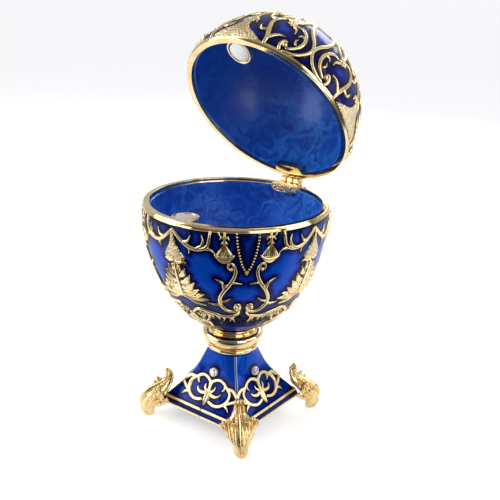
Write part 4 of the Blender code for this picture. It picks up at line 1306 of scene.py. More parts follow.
@dataclass(frozen=True)
class EggHalf:
    """Bowl or lid: enamelled skin, gold rim, marbled lining, magnet's boss and hinge pad."""

    name: str
    body: str
    chart: EggChart
    parts: tuple[Stroke | Knob, ...]
    lining_rise: float
    steps: int = 432
    skin_step: float = 0.44
    band: float = 1.45
    band_lift: float = 0.25
    inner_radius: float = 27.8
    gold_step: float = 1.3
    lining_step: float = 0.4
    lining_steps: int = 56
    creep: float = 0.14
    creep_width: float = 0.35
    boss_radius: float = 4.3
    boss_centre: float = 24.4
    boss_depth: float = 3.4
    seat_radius: float = 3.6
    magnet_radius: float = 3.3
    magnet_depth: float = 1.6
    set_back: float = 0.15
    pad_width: float = 11.0
    pad_reach: float = 3.4
    pad_depth: float = 2.0
    pad_border: float = 0.35
    # A little darker on the whole lid: painted shade.
    lid_tone: float = 0.9
    # Painted shade low on the bowl: where it begins, how far it grows and how dark it gets.
    low_from: float = 24.0
    low_over: float = 8.0
    low_painted_shade: float = 0.75
    chained_tone: float = 0.6
    chain_angle: float = 38.8
    chain_slant: float = 0.62
    chain_top: float = 5.0
    chain_end: float = 14.0

    def build(self, seat: Seat, palette: Palette, enamel: bpy.types.Material) -> None:
        """Make all the pieces of this half and put them in place.

        Args:
            seat: Where the box stands.
            palette: Its finishes.
            enamel: Finish of this half's skin.
        """
        rim_gap = 2.0 * (seat.hinge.z - seat.rim)
        place = seat.resting() if self.chart.sign < 0.0 else seat.swung(rim_gap)
        work = Scrollwork(self.chart, self.parts)
        shell = self.shell(work)
        piece = put_piece(
            shell, f"{self.name}_shell", place, (enamel, palette.polished_gold, palette.lining),
            self.body, (self.name,), 40.0,
        )
        write_skin_values(piece, place, self.gap(work), self.tone, lambda spot: 0.0)
        put_piece(
            work.mesh(), f"{self.name}_scrollwork", place, (palette.scroll_gold, palette.matted_gold),
            self.body, sharp=60.0,
        )
        put_piece(
            self.boss(), f"{self.name}_magnet_boss", place, (palette.gold,), self.body
        )
        put_piece(
            self.magnet(), f"{self.name}_magnet", place, (palette.silver,),
            self.body, (f"magnet_{self.name}",),
        )
        pad_gold = palette.matted_gold if self.chart.sign < 0.0 else palette.polished_gold
        put_piece(
            self.pad(), f"{self.name}_hinge_pad", place, (pad_gold,), self.body, sharp=30.0
        )

    def shell(self, work: Scrollwork) -> bmesh.types.BMesh:
        """Build the closed shell: skin, rim and lining."""
        skin = self.chart.profile(self.band, self.skin_step)
        if skin[-1][0] > WELD:
            skin.append((0.0, skin[-1][1]))
        bm = bmesh.new()
        for index, profile in enumerate((skin, self.rim(skin[0]), self.inside())):
            add_spun(bm, profile, self.steps, index)
        bmesh.ops.remove_doubles(bm, verts=bm.verts, dist=WELD)
        self.raise_meniscus(bm, work)
        return bm

    def rim(self, start: tuple[float, float]) -> Places:
        """Return the profile of the gold rim, from the skin over its top to the lining.

        Args:
            start: Where the skin begins.

        Returns:
            Radius and height of each point.
        """
        sign, inner = self.chart.sign, self.inner_radius
        edge = self.at(self.band)
        outer = self.at(0.0) + self.band_lift
        return [
            start,
            (edge + self.band_lift * 0.7, sign * (self.band - 0.02)),
            (edge + self.band_lift, sign * (self.band - 0.16)),
            (self.at(0.9) + self.band_lift, sign * 0.9),
            (self.at(0.3) + self.band_lift, sign * 0.3),
            (outer, sign * 0.2),
            (outer - 0.05, sign * 0.06),
            (outer - 0.17, 0.0),
            (outer - 0.23, 0.0),
            (inner + 0.18, 0.0),
            (inner + 0.12, 0.0),
            (inner + 0.03, sign * 0.04),
            (inner, sign * 0.13),
            (inner, sign * 0.2),
            (inner, sign * self.gold_step),
        ]

    def inside(self) -> Places:
        """Return the profile of the lining, from the gold rim to the egg's axis."""
        sign, inner = self.chart.sign, self.inner_radius
        start = math.asin((self.gold_step + self.lining_step) / self.lining_rise)
        angles = np.linspace(start, QUARTER, self.lining_steps)
        return [
            (inner, sign * self.gold_step),
            (inner - 0.12, sign * (self.gold_step + 0.3)),
            *(
                ((inner - self.lining_step) * math.cos(angle), sign * self.lining_rise * math.sin(angle))
                for angle in angles[:-1]
            ),
            (0.0, sign * self.lining_rise),
        ]

    def at(self, along: float) -> float:
        """Return the skin's radius at a distance from the rim."""
        return float(np.interp(along, self.chart.run, self.chart.radii))

    def raise_meniscus(self, bm: bmesh.types.BMesh, work: Scrollwork) -> None:
        """Let the enamel creep up a little where it meets the gold.

        Args:
            bm: The shell.
            work: The gold on it.
        """
        measure = self.gap(work)
        end = self.chart.radii[-1] + 0.2
        for vert in bm.verts:
            away = math.hypot(vert.co.x, vert.co.y)
            if abs(vert.co.z) < self.band + 0.1 or away < end:
                continue
            if not any(face.material_index == 0 for face in vert.link_faces):
                continue
            rise = self.creep * math.exp(-((measure(vert.co) / self.creep_width) ** 2))
            vert.co += Vector((vert.co.x, vert.co.y, 0.0)).normalized() * rise

    def gap(self, work: Scrollwork) -> Callable[[Vector], float]:
        """Return a rule for the distance to gold, the rim band counted in."""
        def measure(spot: Vector) -> float:
            """Return the distance to the nearest gold."""
            edge = abs(spot.z) - self.band
            return min(max(edge, 0.0), work.gap(spot), FAR_FROM_GOLD)

        return measure

    def tone(self, spot: Vector) -> float:
        """Return how bright the enamel's field is at a place.

        The lid's field is even. The bowl's is darker low down towards the collar, a painted shade, and
        darker between its chains.
        """
        if self.chart.sign > 0.0:
            # Painted shade: the lid's field is a little darker all over.
            return self.lid_tone
        down = abs(spot.z)
        # Painted shade: the bowl's field darkens low down, towards the collar.
        low = 1.0 - self.low_painted_shade * min(max((down - self.low_from) / self.low_over, 0.0), 1.0)
        beside_chain = self.chain_angle + max(0.0, down - self.chain_top) * self.chain_slant
        inside = down < self.chain_end and math.degrees(quarter_angle(spot)) > beside_chain
        return low * (self.chained_tone if inside else 1.0)

    def boss(self) -> bmesh.types.BMesh:
        """Build the ring that holds the magnet."""
        sign = self.chart.sign
        outer, seat = self.boss_radius, self.seat_radius
        floor = self.magnet_depth + self.set_back + 0.3
        profile = (
            (0.0, floor), (seat, floor), (seat, 0.2), (seat + 0.12, 0.04), (seat + 0.25, 0.0),
            (outer - 0.2, 0.0), (outer - 0.05, 0.06), (outer, 0.22), (outer, self.boss_depth - 0.6),
            (outer - 0.6, self.boss_depth), (0.0, self.boss_depth),
        )
        bm = turned([(radius, sign * (height + 0.02)) for radius, height in profile], 64)
        bmesh.ops.translate(bm, verts=bm.verts, vec=(0.0, -self.boss_centre, 0.0))
        return bm

    def magnet(self) -> bmesh.types.BMesh:
        """Build the magnet's disc, a little below the rim plane."""
        sign = self.chart.sign
        bm = bmesh.new()
        centre = (0.0, -self.boss_centre, sign * (self.set_back + self.magnet_depth / 2.0))
        add_cylinder(bm, self.magnet_radius, self.magnet_depth, Matrix.Translation(centre), 0.12, 64)
        return bm

    def pad(self) -> bmesh.types.BMesh:
        """Build the flat pad inside the rim at the hinge, with a raised border.

        The bowl's pad is rounded inwards, the lid's is straight with cut corners.
        """
        sign = self.chart.sign
        outer, inner = self.inner_radius + 0.6, self.inner_radius - self.pad_reach
        half = self.pad_width / 2.0
        angle = math.asin(half / outer)
        ring = [
            (outer * math.sin(share * angle), outer * math.cos(share * angle))
            for share in np.linspace(-1.0, 1.0, 17)
        ]
        if sign < 0.0:
            depth = self.pad_reach * 0.85
            ring += [
                (half * math.cos(turn), self.inner_radius - 0.3 - depth * math.sin(turn))
                for turn in np.linspace(0.25, math.pi - 0.25, 15)
            ]
        else:
            corner = half - self.pad_reach / 2.0
            ring += [(corner + 0.9, inner + 0.5), (corner + 0.2, inner)]
            ring += [(-corner - 0.2, inner), (-corner - 0.9, inner + 0.5)]
        bm = bmesh.new()
        face = bm.faces.new([bm.verts.new((x, y, sign * 0.06)) for x, y in ring])
        bmesh.ops.inset_region(bm, faces=[face], thickness=self.pad_border, depth=0.0)
        bmesh.ops.translate(bm, verts=face.verts, vec=(0.0, 0.0, sign * 0.22))
        bmesh.ops.solidify(bm, geom=list(bm.faces), thickness=self.pad_depth * sign)
        return bm


@dataclass(frozen=True)
class Collar:
    """Turned ring, groove and bead between the bowl and the base."""

    top: float
    lip_radius: float = 8.2
    lip_depth: float = 0.4
    neck_radius: float = 7.3
    neck_length: float = 1.7
    ring_radius: float = 10.4
    ring_half: float = 1.6
    ring_above: float = 1.4
    ring_below: float = 3.1
    groove_radius: float = 8.0
    groove_length: float = 0.5
    bead_radius: float = 8.75
    bead_half: float = 0.94

    def build(self, seat: Seat, palette: Palette) -> None:
        """Make the collar and put it in place.

        Args:
            seat: Where the box stands.
            palette: Its finishes.
        """
        ring = self.top - self.neck_length - self.ring_above
        groove = ring - self.ring_below - self.groove_length
        neck = self.top - self.neck_length * 0.7
        half = self.bead_half
        profile = [
            (0.0, self.top), (self.lip_radius - 0.15, self.top), (self.lip_radius, self.top - 0.15),
            (self.lip_radius, self.top - self.lip_depth),
            (self.neck_radius + 0.2, self.top - self.neck_length * 0.45),
            (self.neck_radius, neck), (self.neck_radius, ring + self.ring_above - 0.02),
            *self.moulding(
                self.ring_radius, self.ring_half, ring, self.ring_above, self.ring_below, 34
            ),
            (self.groove_radius, ring - self.ring_below - 0.05), (self.groove_radius, groove + 0.05),
            *self.moulding(self.bead_radius, half, groove - half, half, half, 14),
            (0.0, groove - 2.0 * half),
        ]
        put_piece(
            turned(profile, 160), "turned_collar", seat.resting(), (palette.polished_gold,),
            "box", ("collar",),
        )

    @staticmethod
    def moulding(
        radius: float, bulge: float, level: float, above: float, below: float, count: int
    ) -> list[tuple[float, float]]:
        """Return the profile of a rounded moulding, from its top to its bottom.

        Args:
            radius: Its widest radius.
            bulge: How far it stands out.
            level: Height of its widest place.
            above: Its height above that place.
            below: Its height below that place.
            count: Points of the profile.

        Returns:
            Radius and height of each point.
        """
        return [
            (
                radius - bulge + bulge * math.cos(angle),
                level + (above if angle > 0.0 else below) * math.sin(angle),
            )
            for angle in np.linspace(QUARTER, -QUARTER, count)
        ]


@dataclass(frozen=True)
class Base:
    """Four hollow-curved enamelled faces with flat gold scrolls and cut crystals."""

    chart: FaceChart
    columns: int = 56
    rows: int = 72
    crystal_level: float = 0.71
    crystal_radius: float = 1.35
    crystal_lift: float = 0.5

    def build(self, seat: Seat, palette: Palette) -> None:
        """Make the base's pieces and put them in place.

        Args:
            seat: Where the box stands.
            palette: Its finishes.
        """
        place = seat.resting()
        work = Scrollwork(self.chart, BASE_PARTS)
        piece = put_piece(
            self.skin(), "base_faces", place, (palette.base_enamel,), "box", ("base",), 35.0
        )
        write_skin_values(piece, place, self.gap(work), lambda spot: 1.0, self.ridge)
        put_piece(
            work.mesh(), "base_scrollwork", place, (palette.satin_gold,), "box", sharp=40.0
        )
        for index in range(4):
            turn = Matrix.Rotation(QUARTER * index, 4, "Z")
            put_piece(
                self.bezel(turn), f"crystal_bezel_{index + 1}", place, (palette.silver,),
                "box",
            )
            put_piece(
                self.crystal(turn), f"cut_crystal_{index + 1}", place, (palette.crystal,),
                "box", (f"crystal_{index + 1}",), 5.0,
            )

    def skin(self) -> bmesh.types.BMesh:
        """Build the four faces, their softened ridges and the flat top and bottom."""
        along = np.linspace(0.0, self.chart.length, self.rows)
        share = np.linspace(-1.0, 1.0, self.columns)
        across = share[None, :] * self.chart.width(along)[:, None]
        grid = np.broadcast_to(along[:, None], across.shape)
        rows = self.chart.points(across, grid, np.zeros_like(across))
        bm = bmesh.new()
        shaped_grid(bm, rows)
        add_repeats(bm, 4)
        bmesh.ops.remove_doubles(bm, verts=bm.verts, dist=WELD)
        bmesh.ops.holes_fill(bm, edges=[edge for edge in bm.edges if edge.is_boundary], sides=0)
        ridges = [
            edge for edge in bm.edges
            if all(abs(abs(vert.co.x) - abs(vert.co.y)) < 0.01 for vert in edge.verts)
            and abs(edge.verts[0].co.z - edge.verts[1].co.z) > 0.01
        ]
        round_edges(bm, ridges, 0.14)
        return bm

    def gap(self, work: Scrollwork) -> Callable[[Vector], float]:
        """Return a rule for the distance to gold, the crystal's seat and a painted dark line along the
        ridges counted in.

        Args:
            work: The gold on the faces.

        Returns:
            The rule, which takes a place of the chart.
        """
        middle = self.spot(0.0)

        def measure(spot: Vector) -> float:
            """Return the distance to the nearest gold, crystal or ridge; along the ridges this paints a
            dark line.
            """
            folded = spot.copy()
            if abs(folded.x) > abs(folded.y):
                folded.x, folded.y = folded.y, folded.x
            folded.y = -abs(folded.y)
            seat = max(0.0, (folded - middle).length - self.crystal_radius - 0.5)
            # Painted shade: a dark line along the ridges where the faces meet.
            painted_dark_ridge_line = 0.15 + 3.0 * abs(abs(spot.x) - abs(spot.y))
            return min(seat * 1.6, work.gap(spot), painted_dark_ridge_line, FAR_FROM_GOLD)

        return measure

    def ridge(self, spot: Vector) -> float:
        """Return the share of the painted highlight, a pale line along the upper part of the ridges."""
        away = abs(abs(spot.x) - abs(spot.y))
        level = (spot.z - self.chart.bottom) / self.chart.height
        return 0.75 * math.exp(-(((away - 0.34) / 0.13) ** 2)) * min(max((level - 0.3) / 0.2, 0.0), 1.0)

    def spot(self, lift: float) -> Vector:
        """Return the crystal's seat on the front face, lifted off it."""
        along = np.array([self.crystal_level * self.chart.length])
        return Vector(self.chart.points(np.zeros(1), along, np.array([lift]))[0])

    def upright(self, turn: Matrix, lift: float) -> Matrix:
        """Return the matrix of something that lies on a face at the crystal's place."""
        out = (self.spot(1.0) - self.spot(0.0)).normalized()
        face = out.to_track_quat("Z", "Y").to_matrix().to_4x4()
        return turn @ Matrix.Translation(self.spot(lift)) @ face

    def crystal(self, turn: Matrix) -> bmesh.types.BMesh:
        """Build a cut crystal: table, crown and pavilion.

        Args:
            turn: Turn from the front face to the crystal's face.

        Returns:
            The crystal.
        """
        radius = self.crystal_radius * 0.93
        profile = (
            (0.0, 0.5), (radius * 0.52, 0.5), (radius * 0.8, 0.34), (radius, 0.06), (radius, -0.04),
            (0.0, -0.65),
        )
        bm = turned(profile, 12)
        bmesh.ops.transform(bm, matrix=self.upright(turn, self.crystal_lift + 0.45), verts=bm.verts)
        return bm

    def bezel(self, turn: Matrix) -> bmesh.types.BMesh:
        """Build the ring and the four claws that hold a crystal.

        Args:
            turn: Turn from the front face to the crystal's face.

        Returns:
            The bezel.
        """
        outer = self.crystal_radius
        profile = (
            (0.0, -0.4), (outer + 0.12, -0.4), (outer + 0.12, 0.45), (outer, 0.62), (outer - 0.12, 0.62),
            (outer - 0.16, 0.3), (0.0, 0.1),
        )
        bm = turned(profile, 40)
        for claw in range(4):
            angle = QUARTER / 2.0 + QUARTER * claw
            away = outer * 0.92
            seat = Matrix.Translation((math.cos(angle) * away, math.sin(angle) * away, 0.72))
            bmesh.ops.create_icosphere(bm, subdivisions=2, radius=0.2, matrix=seat)
        bmesh.ops.transform(bm, matrix=self.upright(turn, self.crystal_lift - 0.1), verts=bm.verts)
        return bm


@dataclass(frozen=True)
class LeafFoot:
    """Acanthus foot: a curved body, ribs that fan out of the toe, and ruffled tips.

    The body's stations are distance from the axis, height, half thickness, half width
    and tilt in degrees. Ribs run through (across, distance, height).
    """

    floor: float
    stations: Places = (
        (28.75, 0.0, 1.3, 1.6, 0.0),
        (28.9, 0.5, 1.95, 2.05, 0.0),
        (29.1, 1.8, 2.3, 2.35, 0.0),
        (29.2, 3.4, 2.2, 2.45, 5.0),
        (28.9, 5.2, 2.1, 2.8, 20.0),
        (27.6, 7.2, 2.0, 3.4, 45.0),
        (25.4, 8.6, 1.8, 4.1, 55.0),
        (23.6, 9.9, 1.3, 4.1, 35.0),
        (22.3, 11.3, 1.2, 2.6, 12.0),
        (21.5, 12.8, 1.1, 1.8, 5.0),
        (21.0, 14.4, 0.9, 1.6, 10.0),
        (20.7, 15.6, 0.5, 1.2, 30.0),
    )
    ribs: tuple[tuple[Places, tuple[float, ...]], ...] = (
        (((0.0, 30.2, 2.4), (0.0, 31.0, 4.2), (0.0, 31.0, 6.0), (0.0, 29.9, 7.9), (0.0, 28.0, 9.5),
          (0.0, 25.8, 10.8),
          (0.0, 23.8, 12.0), (0.0, 22.7, 13.4), (0.0, 22.1, 14.6)), (0.3, 0.8, 1.0, 0.9, 0.7, 0.6)),
        (((0.6, 30.5, 0.9), (0.65, 31.0, 2.0), (0.5, 31.0, 3.6)), (0.35, 0.6, 0.3)),
        (((1.1, 29.9, 3.0), (1.4, 30.2, 4.8), (1.7, 29.2, 6.8), (1.7, 27.4, 8.8), (1.4, 25.4, 10.3),
          (1.2, 23.4, 11.8),
          (1.2, 22.4, 13.2), (1.3, 21.9, 14.4)), (0.25, 0.7, 0.8, 0.62, 0.5, 0.5)),
        (((1.6, 29.6, 3.2), (2.2, 29.7, 5.0), (2.6, 28.4, 7.2), (2.7, 27.0, 8.9), (2.8, 26.4, 10.2),
          (3.2, 26.9, 11.0)),
         (0.25, 0.65, 0.75, 0.65, 0.7)),
        (((1.9, 28.9, 3.2), (2.9, 28.5, 5.0), (3.7, 27.0, 7.0), (4.0, 25.7, 8.8), (4.1, 25.0, 10.3),
          (4.6, 25.4, 11.3),
          (5.1, 26.1, 11.2)), (0.25, 0.7, 0.9, 0.7, 0.75, 0.6)),
        (((2.1, 28.1, 3.2), (3.2, 27.4, 4.8), (4.4, 25.9, 6.5), (5.2, 24.6, 8.0), (5.7, 24.1, 9.3),
          (6.2, 24.5, 10.1),
          (6.6, 25.1, 9.9)), (0.25, 0.7, 0.85, 0.65, 0.7, 0.55)),
        (((2.1, 27.2, 3.1), (3.1, 26.3, 4.4), (4.4, 24.8, 5.6), (5.6, 23.2, 6.7), (6.4, 22.5, 7.7),
          (6.9, 22.9, 8.4),
          (7.2, 23.5, 8.2)), (0.25, 0.65, 0.8, 0.6, 0.62, 0.5)),
    )
    crown: float = 14.0
    crown_rise: float = 2.1
    scale_pitch: float = 1.25
    scale_radius: float = 0.58
    leans: tuple[Triple, Triple] = ((0.1, 0.75, 0.35), (0.75, 0.25, 0.1))
    spread: float = 0.87

    def build(self, seat: Seat, palette: Palette) -> None:
        """Make the four feet and put them in place.

        Args:
            seat: Where the box stands.
            palette: Its finishes.
        """
        for index in range(4):
            turn = Matrix.Rotation(QUARTER / 2.0 + QUARTER * index, 4, "Z")
            bm = self.mesh()
            bmesh.ops.transform(bm, matrix=turn, verts=bm.verts)
            put_piece(
                bm, f"leaf_foot_{index + 1}", seat.resting(), (palette.foot_gold,), "box",
                (f"foot_{index + 1}",), 70.0,
            )

    def mesh(self) -> bmesh.types.BMesh:
        """Build one foot, pointing to the front."""
        bm = bmesh.new()
        path = smooth_path(self.stations, 5)
        angle = np.linspace(0.0, 2.0 * math.pi, 33)[:-1]
        wide = np.sign(np.cos(angle)) * np.abs(np.cos(angle)) ** 0.85
        deep = np.sign(np.sin(angle)) * np.abs(np.sin(angle)) ** 0.85
        tilt = np.radians(path[:, 4])[:, None]
        across = path[:, 3:4] * wide[None, :]
        thick = path[:, 2:3] * deep[None, :] - 0.35 * (across / path[:, 3:4]) ** 2 * path[:, 2:3]
        out = path[:, 0:1] + thick * np.cos(tilt)
        high = path[:, 1:2] + thick * np.sin(tilt)
        high = np.maximum(high, 0.0)
        add_tube(bm, np.stack((across, -out, high + self.floor), -1))
        for index, (places, widths) in enumerate(self.ribs):
            for side in (1.0,) if places[0][0] == 0.0 else (1.0, -1.0):
                self.add_rib(bm, places, widths, side)
                if index > 1:
                    self.add_scales(bm, places, side, index)
        for petal in (-1.0, 0.0, 1.0):
            foot = (petal * 0.8, 21.8, self.crown)
            bend = (petal * 1.2, 21.9, self.crown + self.crown_rise * 0.75)
            lip = (petal * 1.45, 23.1 - 0.2 * abs(petal), self.crown + self.crown_rise)
            self.add_rib(bm, (foot, bend, lip), (0.7, 0.95, 0.75), 1.0)
        return bm

    def add_scales(self, bm: bmesh.types.BMesh, places: Places, side: float, index: int) -> None:
        """Add the small rounded scales that ruffle a lobe of the leaf.

        Args:
            bm: The bmesh that receives them.
            places: Path of the lobe's rib.
            side: Which side of the foot they are on, 1 or -1.
            index: Number of the rib, which sets the scale that leans out first.
        """
        path = smooth_path(places, 6)
        run = distances(np.linalg.norm(np.diff(path, axis=0), axis=1))
        widths = (self.scale_radius * 0.8, self.scale_radius, self.scale_radius * 0.8)
        for number, reach in enumerate(np.arange(0.34 * run[-1], run[-1] - 0.3, self.scale_pitch)):
            spot, ahead = resampled(path, run, np.array([reach, reach + 0.5]))
            step = (ahead - spot) / max(np.linalg.norm(ahead - spot), WELD)
            outward = np.array(self.leans[(number + index) % 2])
            start = spot + outward * 0.45
            end = start + step * 0.6 + outward * 0.3
            self.add_rib(bm, (tuple(start), tuple(end)), widths, side)

    def add_rib(
        self, bm: bmesh.types.BMesh, places: Places, widths: tuple[float, ...], side: float
    ) -> None:
        """Add one round rib that tapers at both ends.

        Args:
            bm: The bmesh that receives it.
            places: Across, distance and height of the points that it runs through.
            widths: Its radii, spaced evenly from start to end.
            side: Which side of the foot it is on, 1 or -1.
        """
        path = smooth_path(places, 6)
        run = distances(np.linalg.norm(np.diff(path, axis=0), axis=1))
        radius = np.interp(run / run[-1], np.linspace(0.0, 1.0, len(widths)), widths)
        radius = rounded_ends(radius, run, (0.5, 0.5), 0.03)
        tangent = np.gradient(path, run, axis=0)
        tangent /= np.linalg.norm(tangent, axis=1)[:, None]
        first = np.cross(tangent, np.array([0.0, 0.35, 1.0]))
        if np.linalg.norm(first, axis=1).min() < 1e-3:
            first = np.cross(tangent, np.array([1.0, 0.0, 0.0]))
        first /= np.linalg.norm(first, axis=1)[:, None]
        second = np.cross(tangent, first)
        angle = np.linspace(0.0, 2.0 * math.pi, 13)[:-1]
        ring = first[:, None, :] * np.cos(angle)[None, :, None]
        ring = ring + second[:, None, :] * np.sin(angle)[None, :, None]
        rings = path[:, None, :] + ring * radius[:, None, None]
        rings = rings * np.array([side * self.spread, -1.0, 1.0]) + np.array([0.0, 0.0, self.floor])
        add_tube(bm, rings)


@dataclass(frozen=True)
class Hinge:
    """Three-knuckle hinge behind the rims, its pin and its two leaves."""

    out: float = 31.5
    barrel: float = 1.5
    pin: float = 0.5
    knuckle: float = 2.4
    gap: float = 0.3
    inner: float = 31.05
    thick: float = 1.2
    drop: float = 4.2
    stud_radius: float = 0.8
    stud_height: float = 1.8
    stud_place: Triple = (3.2, 26.0, -2.6)

    def build(self, seat: Seat, palette: Palette) -> None:
        """Make the hinge's pieces and put them in place.

        Args:
            seat: Where the box stands.
            palette: Its finishes.
        """
        step = self.knuckle + self.gap
        finish = (palette.gold,)
        put_piece(
            self.leaf(-1.0, (-step, step)), "hinge_leaf_lower", seat.resting(), finish, "box",
            ("hinge_leaf_bowl",), 35.0,
        )
        put_piece(
            self.leaf(1.0, (0.0,)), "hinge_leaf_upper", seat.swung(), finish, "lid",
            ("hinge_leaf_lid",), 35.0,
        )
        bm = bmesh.new()
        length = 1.5 * self.knuckle + self.gap
        turn = Matrix.Rotation(QUARTER, 4, "Y")
        at = Matrix.Translation((0.0, self.out, self.gap / 2.0))
        add_cylinder(bm, self.pin, 2.0 * length + 0.2, at @ turn, 0.0, 32)
        for side in (1.0, -1.0):
            head = at @ Matrix.Translation((side * (length + 0.2), 0.0, 0.0)) @ turn
            add_cylinder(bm, self.pin * 1.5, 0.4, head, 0.12, 32)
        put_piece(
            bm, "hinge_pin_headed", seat.resting(), finish, "box", ("hinge_pin",), 35.0
        )
        bm = bmesh.new()
        stud = Matrix.Translation(self.stud_place)
        add_cylinder(bm, self.stud_radius, self.stud_height, stud, 0.25, 32)
        put_piece(bm, "pad_stud", seat.resting(), finish, "box", sharp=35.0)

    def leaf(self, sign: float, middles: Sequence[float]) -> bmesh.types.BMesh:
        """Build a leaf: its plate, its lugs and its knuckles.

        Args:
            sign: 1 for the upper leaf, -1 for the lower one.
            middles: Middle of each knuckle along the pin.

        Returns:
            The leaf.
        """
        half = 1.5 * self.knuckle + self.gap
        level = self.gap / 2.0
        top = self.barrel + self.gap
        outer = self.inner + self.thick
        bm = bmesh.new()
        self.add_block(
            bm, (-half, self.inner, level + sign * top), (half, outer, level + sign * self.drop)
        )
        for middle in middles:
            left, right = middle - self.knuckle / 2.0, middle + self.knuckle / 2.0
            self.add_block(
                bm, (left, self.inner, level), (right, outer, level + sign * (top + 0.4))
            )
            at = Matrix.Translation((middle, self.out, level)) @ Matrix.Rotation(QUARTER, 4, "Y")
            add_cylinder(bm, self.barrel, self.knuckle, at, 0.15)
        return bm

    @staticmethod
    def add_block(bm: bmesh.types.BMesh, first: tuple[float, ...], last: tuple[float, ...]) -> None:
        """Add a block with rounded edges between two corners."""
        low = Vector(min(pair) for pair in zip(first, last))
        high = Vector(max(pair) for pair in zip(first, last))
        size = Matrix.Diagonal((*(high - low), 1.0))
        place = Matrix.Translation((low + high) / 2.0) @ size
        made = bmesh.ops.create_cube(bm, size=1.0, matrix=place)["verts"]
        round_edges(bm, list({edge for vert in made for edge in vert.link_edges}), 0.12)


@dataclass(frozen=True)
class SoftBox:
    """One soft rectangular studio light."""

    name: str
    place: Triple
    size: tuple[float, float]
    power: float
    aim: Triple = (0.0, 0.0, 0.07)

    def build(self) -> None:
        """Hang the light and turn it to its aim."""
        light = bpy.data.lights.new(self.name, "AREA")
        light.shape = "RECTANGLE"
        light.size, light.size_y = self.size
        light.energy = self.power
        lamp = bpy.data.objects.new(self.name, light)
        lamp.location = self.place
        lamp.visible_camera = False
        beam = Vector(self.aim) - Vector(self.place)
        lamp.rotation_euler = beam.to_track_quat("-Z", "Y").to_euler()
        bpy.context.scene.collection.objects.link(lamp)


SOFT_BOXES: tuple[SoftBox, ...] = (
    SoftBox("left_box", (-0.40, -0.26, 0.36), (0.34, 0.46), 1.2),
    SoftBox("right_box", (0.42, 0.22, 0.32), (0.32, 0.42), 0.9),
    SoftBox("back_box", (-0.14, 0.50, 0.31), (0.30, 0.16), 0.6),
    SoftBox("side_box", (0.45, -0.14, 0.16), (0.30, 0.40), 0.7),
    SoftBox("low_box", (-0.28, -0.46, 0.13), (0.30, 0.34), 0.6),
)


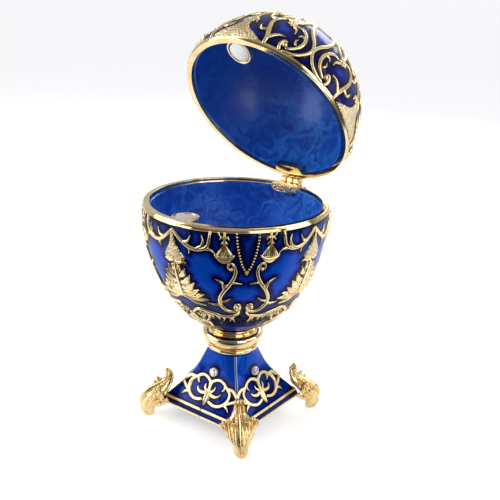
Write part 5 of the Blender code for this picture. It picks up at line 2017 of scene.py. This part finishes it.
@dataclass(frozen=True)
class Studio:
    """Pale floor, pale surroundings that reflect darker in front, soft lights and camera.

    Camera places and the target's height are in millimetres, angles in degrees.
    """

    azimuth: float = 36.59
    elevation: float = 19.75
    distance: float = 259.38
    shift_right: float = 4.95
    target_height: float = 59.89
    roll: float = 1.85
    lens: float = 56.93
    floor_size: float = 12.0
    floor_glow: float = 0.36
    seen_glow: float = 0.15
    floor_tones: tuple[Colour, Colour] = ((0.90, 0.90, 0.905), (0.93, 0.93, 0.935))
    floor_in_front: Colour = (0.02, 0.02, 0.022)
    dark_from: float = 0.035
    dark_to: float = 0.06
    heights: tuple[tuple[float, Colour], ...] = (
        (0.055, (0.92, 0.92, 0.93)),
        (0.075, (0.03, 0.025, 0.02)),
        (0.35, (0.07, 0.065, 0.06)),
        (0.75, (0.36, 0.36, 0.37)),
    )
    wall: Colour = (0.55, 0.56, 0.58)
    backdrop: Colour = (0.95, 0.95, 0.955)

    def build(self, seat: Seat) -> None:
        """Set up everything round the object.

        Args:
            seat: Where the box stands.
        """
        bm = bmesh.new()
        bmesh.ops.create_grid(bm, x_segments=1, y_segments=1, size=self.floor_size)
        mesh = bpy.data.meshes.new("studio_floor")
        bm.to_mesh(mesh)
        bm.free()
        mesh.materials.append(self.floor_finish())
        floor = bpy.data.objects.new("studio_floor", mesh)
        bpy.context.scene.collection.objects.link(floor)
        self.surroundings()
        for box in SOFT_BOXES:
            box.build()
        self.camera(seat)
        bpy.context.scene.view_settings.view_transform = "Standard"

    def forward(self) -> Triple:
        """Return the level direction from the object to the camera."""
        side = math.radians(self.azimuth)
        return math.sin(side), -math.cos(side), 0.0

    def floor_finish(self) -> bpy.types.Material:
        """Make the pale floor, whose part in front of the object stays dark in reflections."""
        made = bpy.data.materials.new("studio_floor")
        made.use_nodes = True
        sheet = NodeSheet(made.node_tree)
        inputs = made.node_tree.nodes["Principled BSDF"].inputs
        front = sheet.reach(sheet.place(), self.forward(), self.dark_from, self.dark_to)
        rays = sheet.add("ShaderNodeLightPath").outputs
        share = sheet.maths("MULTIPLY", front, rays["Is Glossy Ray"])
        cloud = sheet.noise(90.0)
        pale = sheet.ramp(cloud, ((0.3, self.floor_tones[0]), (0.7, self.floor_tones[1])))
        strength = sheet.maths("MULTIPLY_ADD", rays["Is Camera Ray"], self.seen_glow, self.floor_glow)
        sheet.give(inputs["Base Color"], sheet.blend("MIX", share, pale, self.floor_in_front))
        sheet.give(inputs["Roughness"], sheet.maths("MULTIPLY_ADD", cloud, 0.1, 0.24))
        sheet.give(inputs["Emission Color"], sheet.blend("MIX", share, WHITE, BLACK))
        sheet.give(inputs["Emission Strength"], strength)
        return made

    def directions(self) -> tuple[Vector, Vector, Vector]:
        """Return the camera's right, up and back directions."""
        side, up = math.radians(self.azimuth), math.radians(self.elevation)
        back = Vector((math.sin(side) * math.cos(up), -math.cos(side) * math.cos(up), math.sin(up)))
        right = Vector((math.cos(side), math.sin(side), 0.0))
        top = back.cross(right)
        turn = math.radians(self.roll)
        return (
            right * math.cos(turn) + top * math.sin(turn),
            top * math.cos(turn) - right * math.sin(turn),
            back,
        )

    def camera(self, seat: Seat) -> None:
        """Create the camera at the photograph's viewing angle.

        Args:
            seat: Where the box stands.
        """
        right, top, back = self.directions()
        side = math.radians(self.azimuth)
        target = Vector((math.cos(side), math.sin(side), 0.0)) * self.shift_right
        target.z = self.target_height
        place = (target + back * self.distance) * MM + Vector((0.0, seat.axis_y, 0.0))
        lens = bpy.data.cameras.new("photo_camera")
        lens.lens = self.lens
        lens.sensor_width = 36.0
        lens.sensor_fit = "HORIZONTAL"
        lens.clip_start = 0.01
        lens.clip_end = 50.0
        camera = bpy.data.objects.new("photo_camera", lens)
        turn = Matrix((right, top, back)).transposed().to_4x4()
        camera.matrix_world = Matrix.Translation(place) @ turn
        bpy.context.scene.collection.objects.link(camera)
        bpy.context.scene.camera = camera

    def surroundings(self) -> None:
        """Make the walls: pale at the far side, dark above a pale horizon at the near side.

        The camera itself sees a plain pale backdrop from every side.
        """
        world = bpy.data.worlds.new("studio")
        world.use_nodes = True
        bpy.context.scene.world = world
        sheet = NodeSheet(world.node_tree)
        inputs = world.node_tree.nodes["Background"].inputs
        ray = sheet.add("ShaderNodeTexCoord").outputs["Generated"]
        level = sheet.add("ShaderNodeSeparateXYZ", Vector=ray).outputs["Z"]
        near = sheet.vectors("DOT_PRODUCT", ray, self.forward()).outputs["Value"]
        near = sheet.maths("MULTIPLY_ADD", near, 0.5, 0.5)
        far = sheet.ramp(near, ((0.20, WHITE), (0.46, BLACK)))
        colour = sheet.blend("MIX", far, sheet.ramp(level, self.heights), self.wall)
        seen = sheet.add("ShaderNodeLightPath").outputs["Is Camera Ray"]
        sheet.give(inputs["Color"], sheet.blend("MIX", seen, colour, self.backdrop))
        inputs["Strength"].default_value = 1.0


def main() -> None:
    """Build the dressed box and its studio."""
    logging.basicConfig(level=logging.INFO, format="%(name)s: %(message)s")
    seat = read_seat()
    palette = Palette()
    collar_top = (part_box("collar")[1].z - seat.rim) / MM
    base_bottom = (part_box("base")[0].z - seat.rim) / MM
    bowl = EggChart(rise=44.2, last_depth=42.816, sign=-1.0)
    lid = EggChart(rise=32.2, last_depth=32.18, sign=1.0)
    EggHalf("bowl", "box", bowl, BOWL_PARTS, 40.4).build(seat, palette, palette.bowl_enamel)
    EggHalf("lid", "lid", lid, LID_PARTS, 30.1).build(seat, palette, palette.lid_enamel)
    Collar(collar_top).build(seat, palette)
    Base(FaceChart(base_bottom)).build(seat, palette)
    LeafFoot(-seat.rim / MM).build(seat, palette)
    Hinge().build(seat, palette)
    Studio().build(seat)


if __name__ == "__main__":
    main()
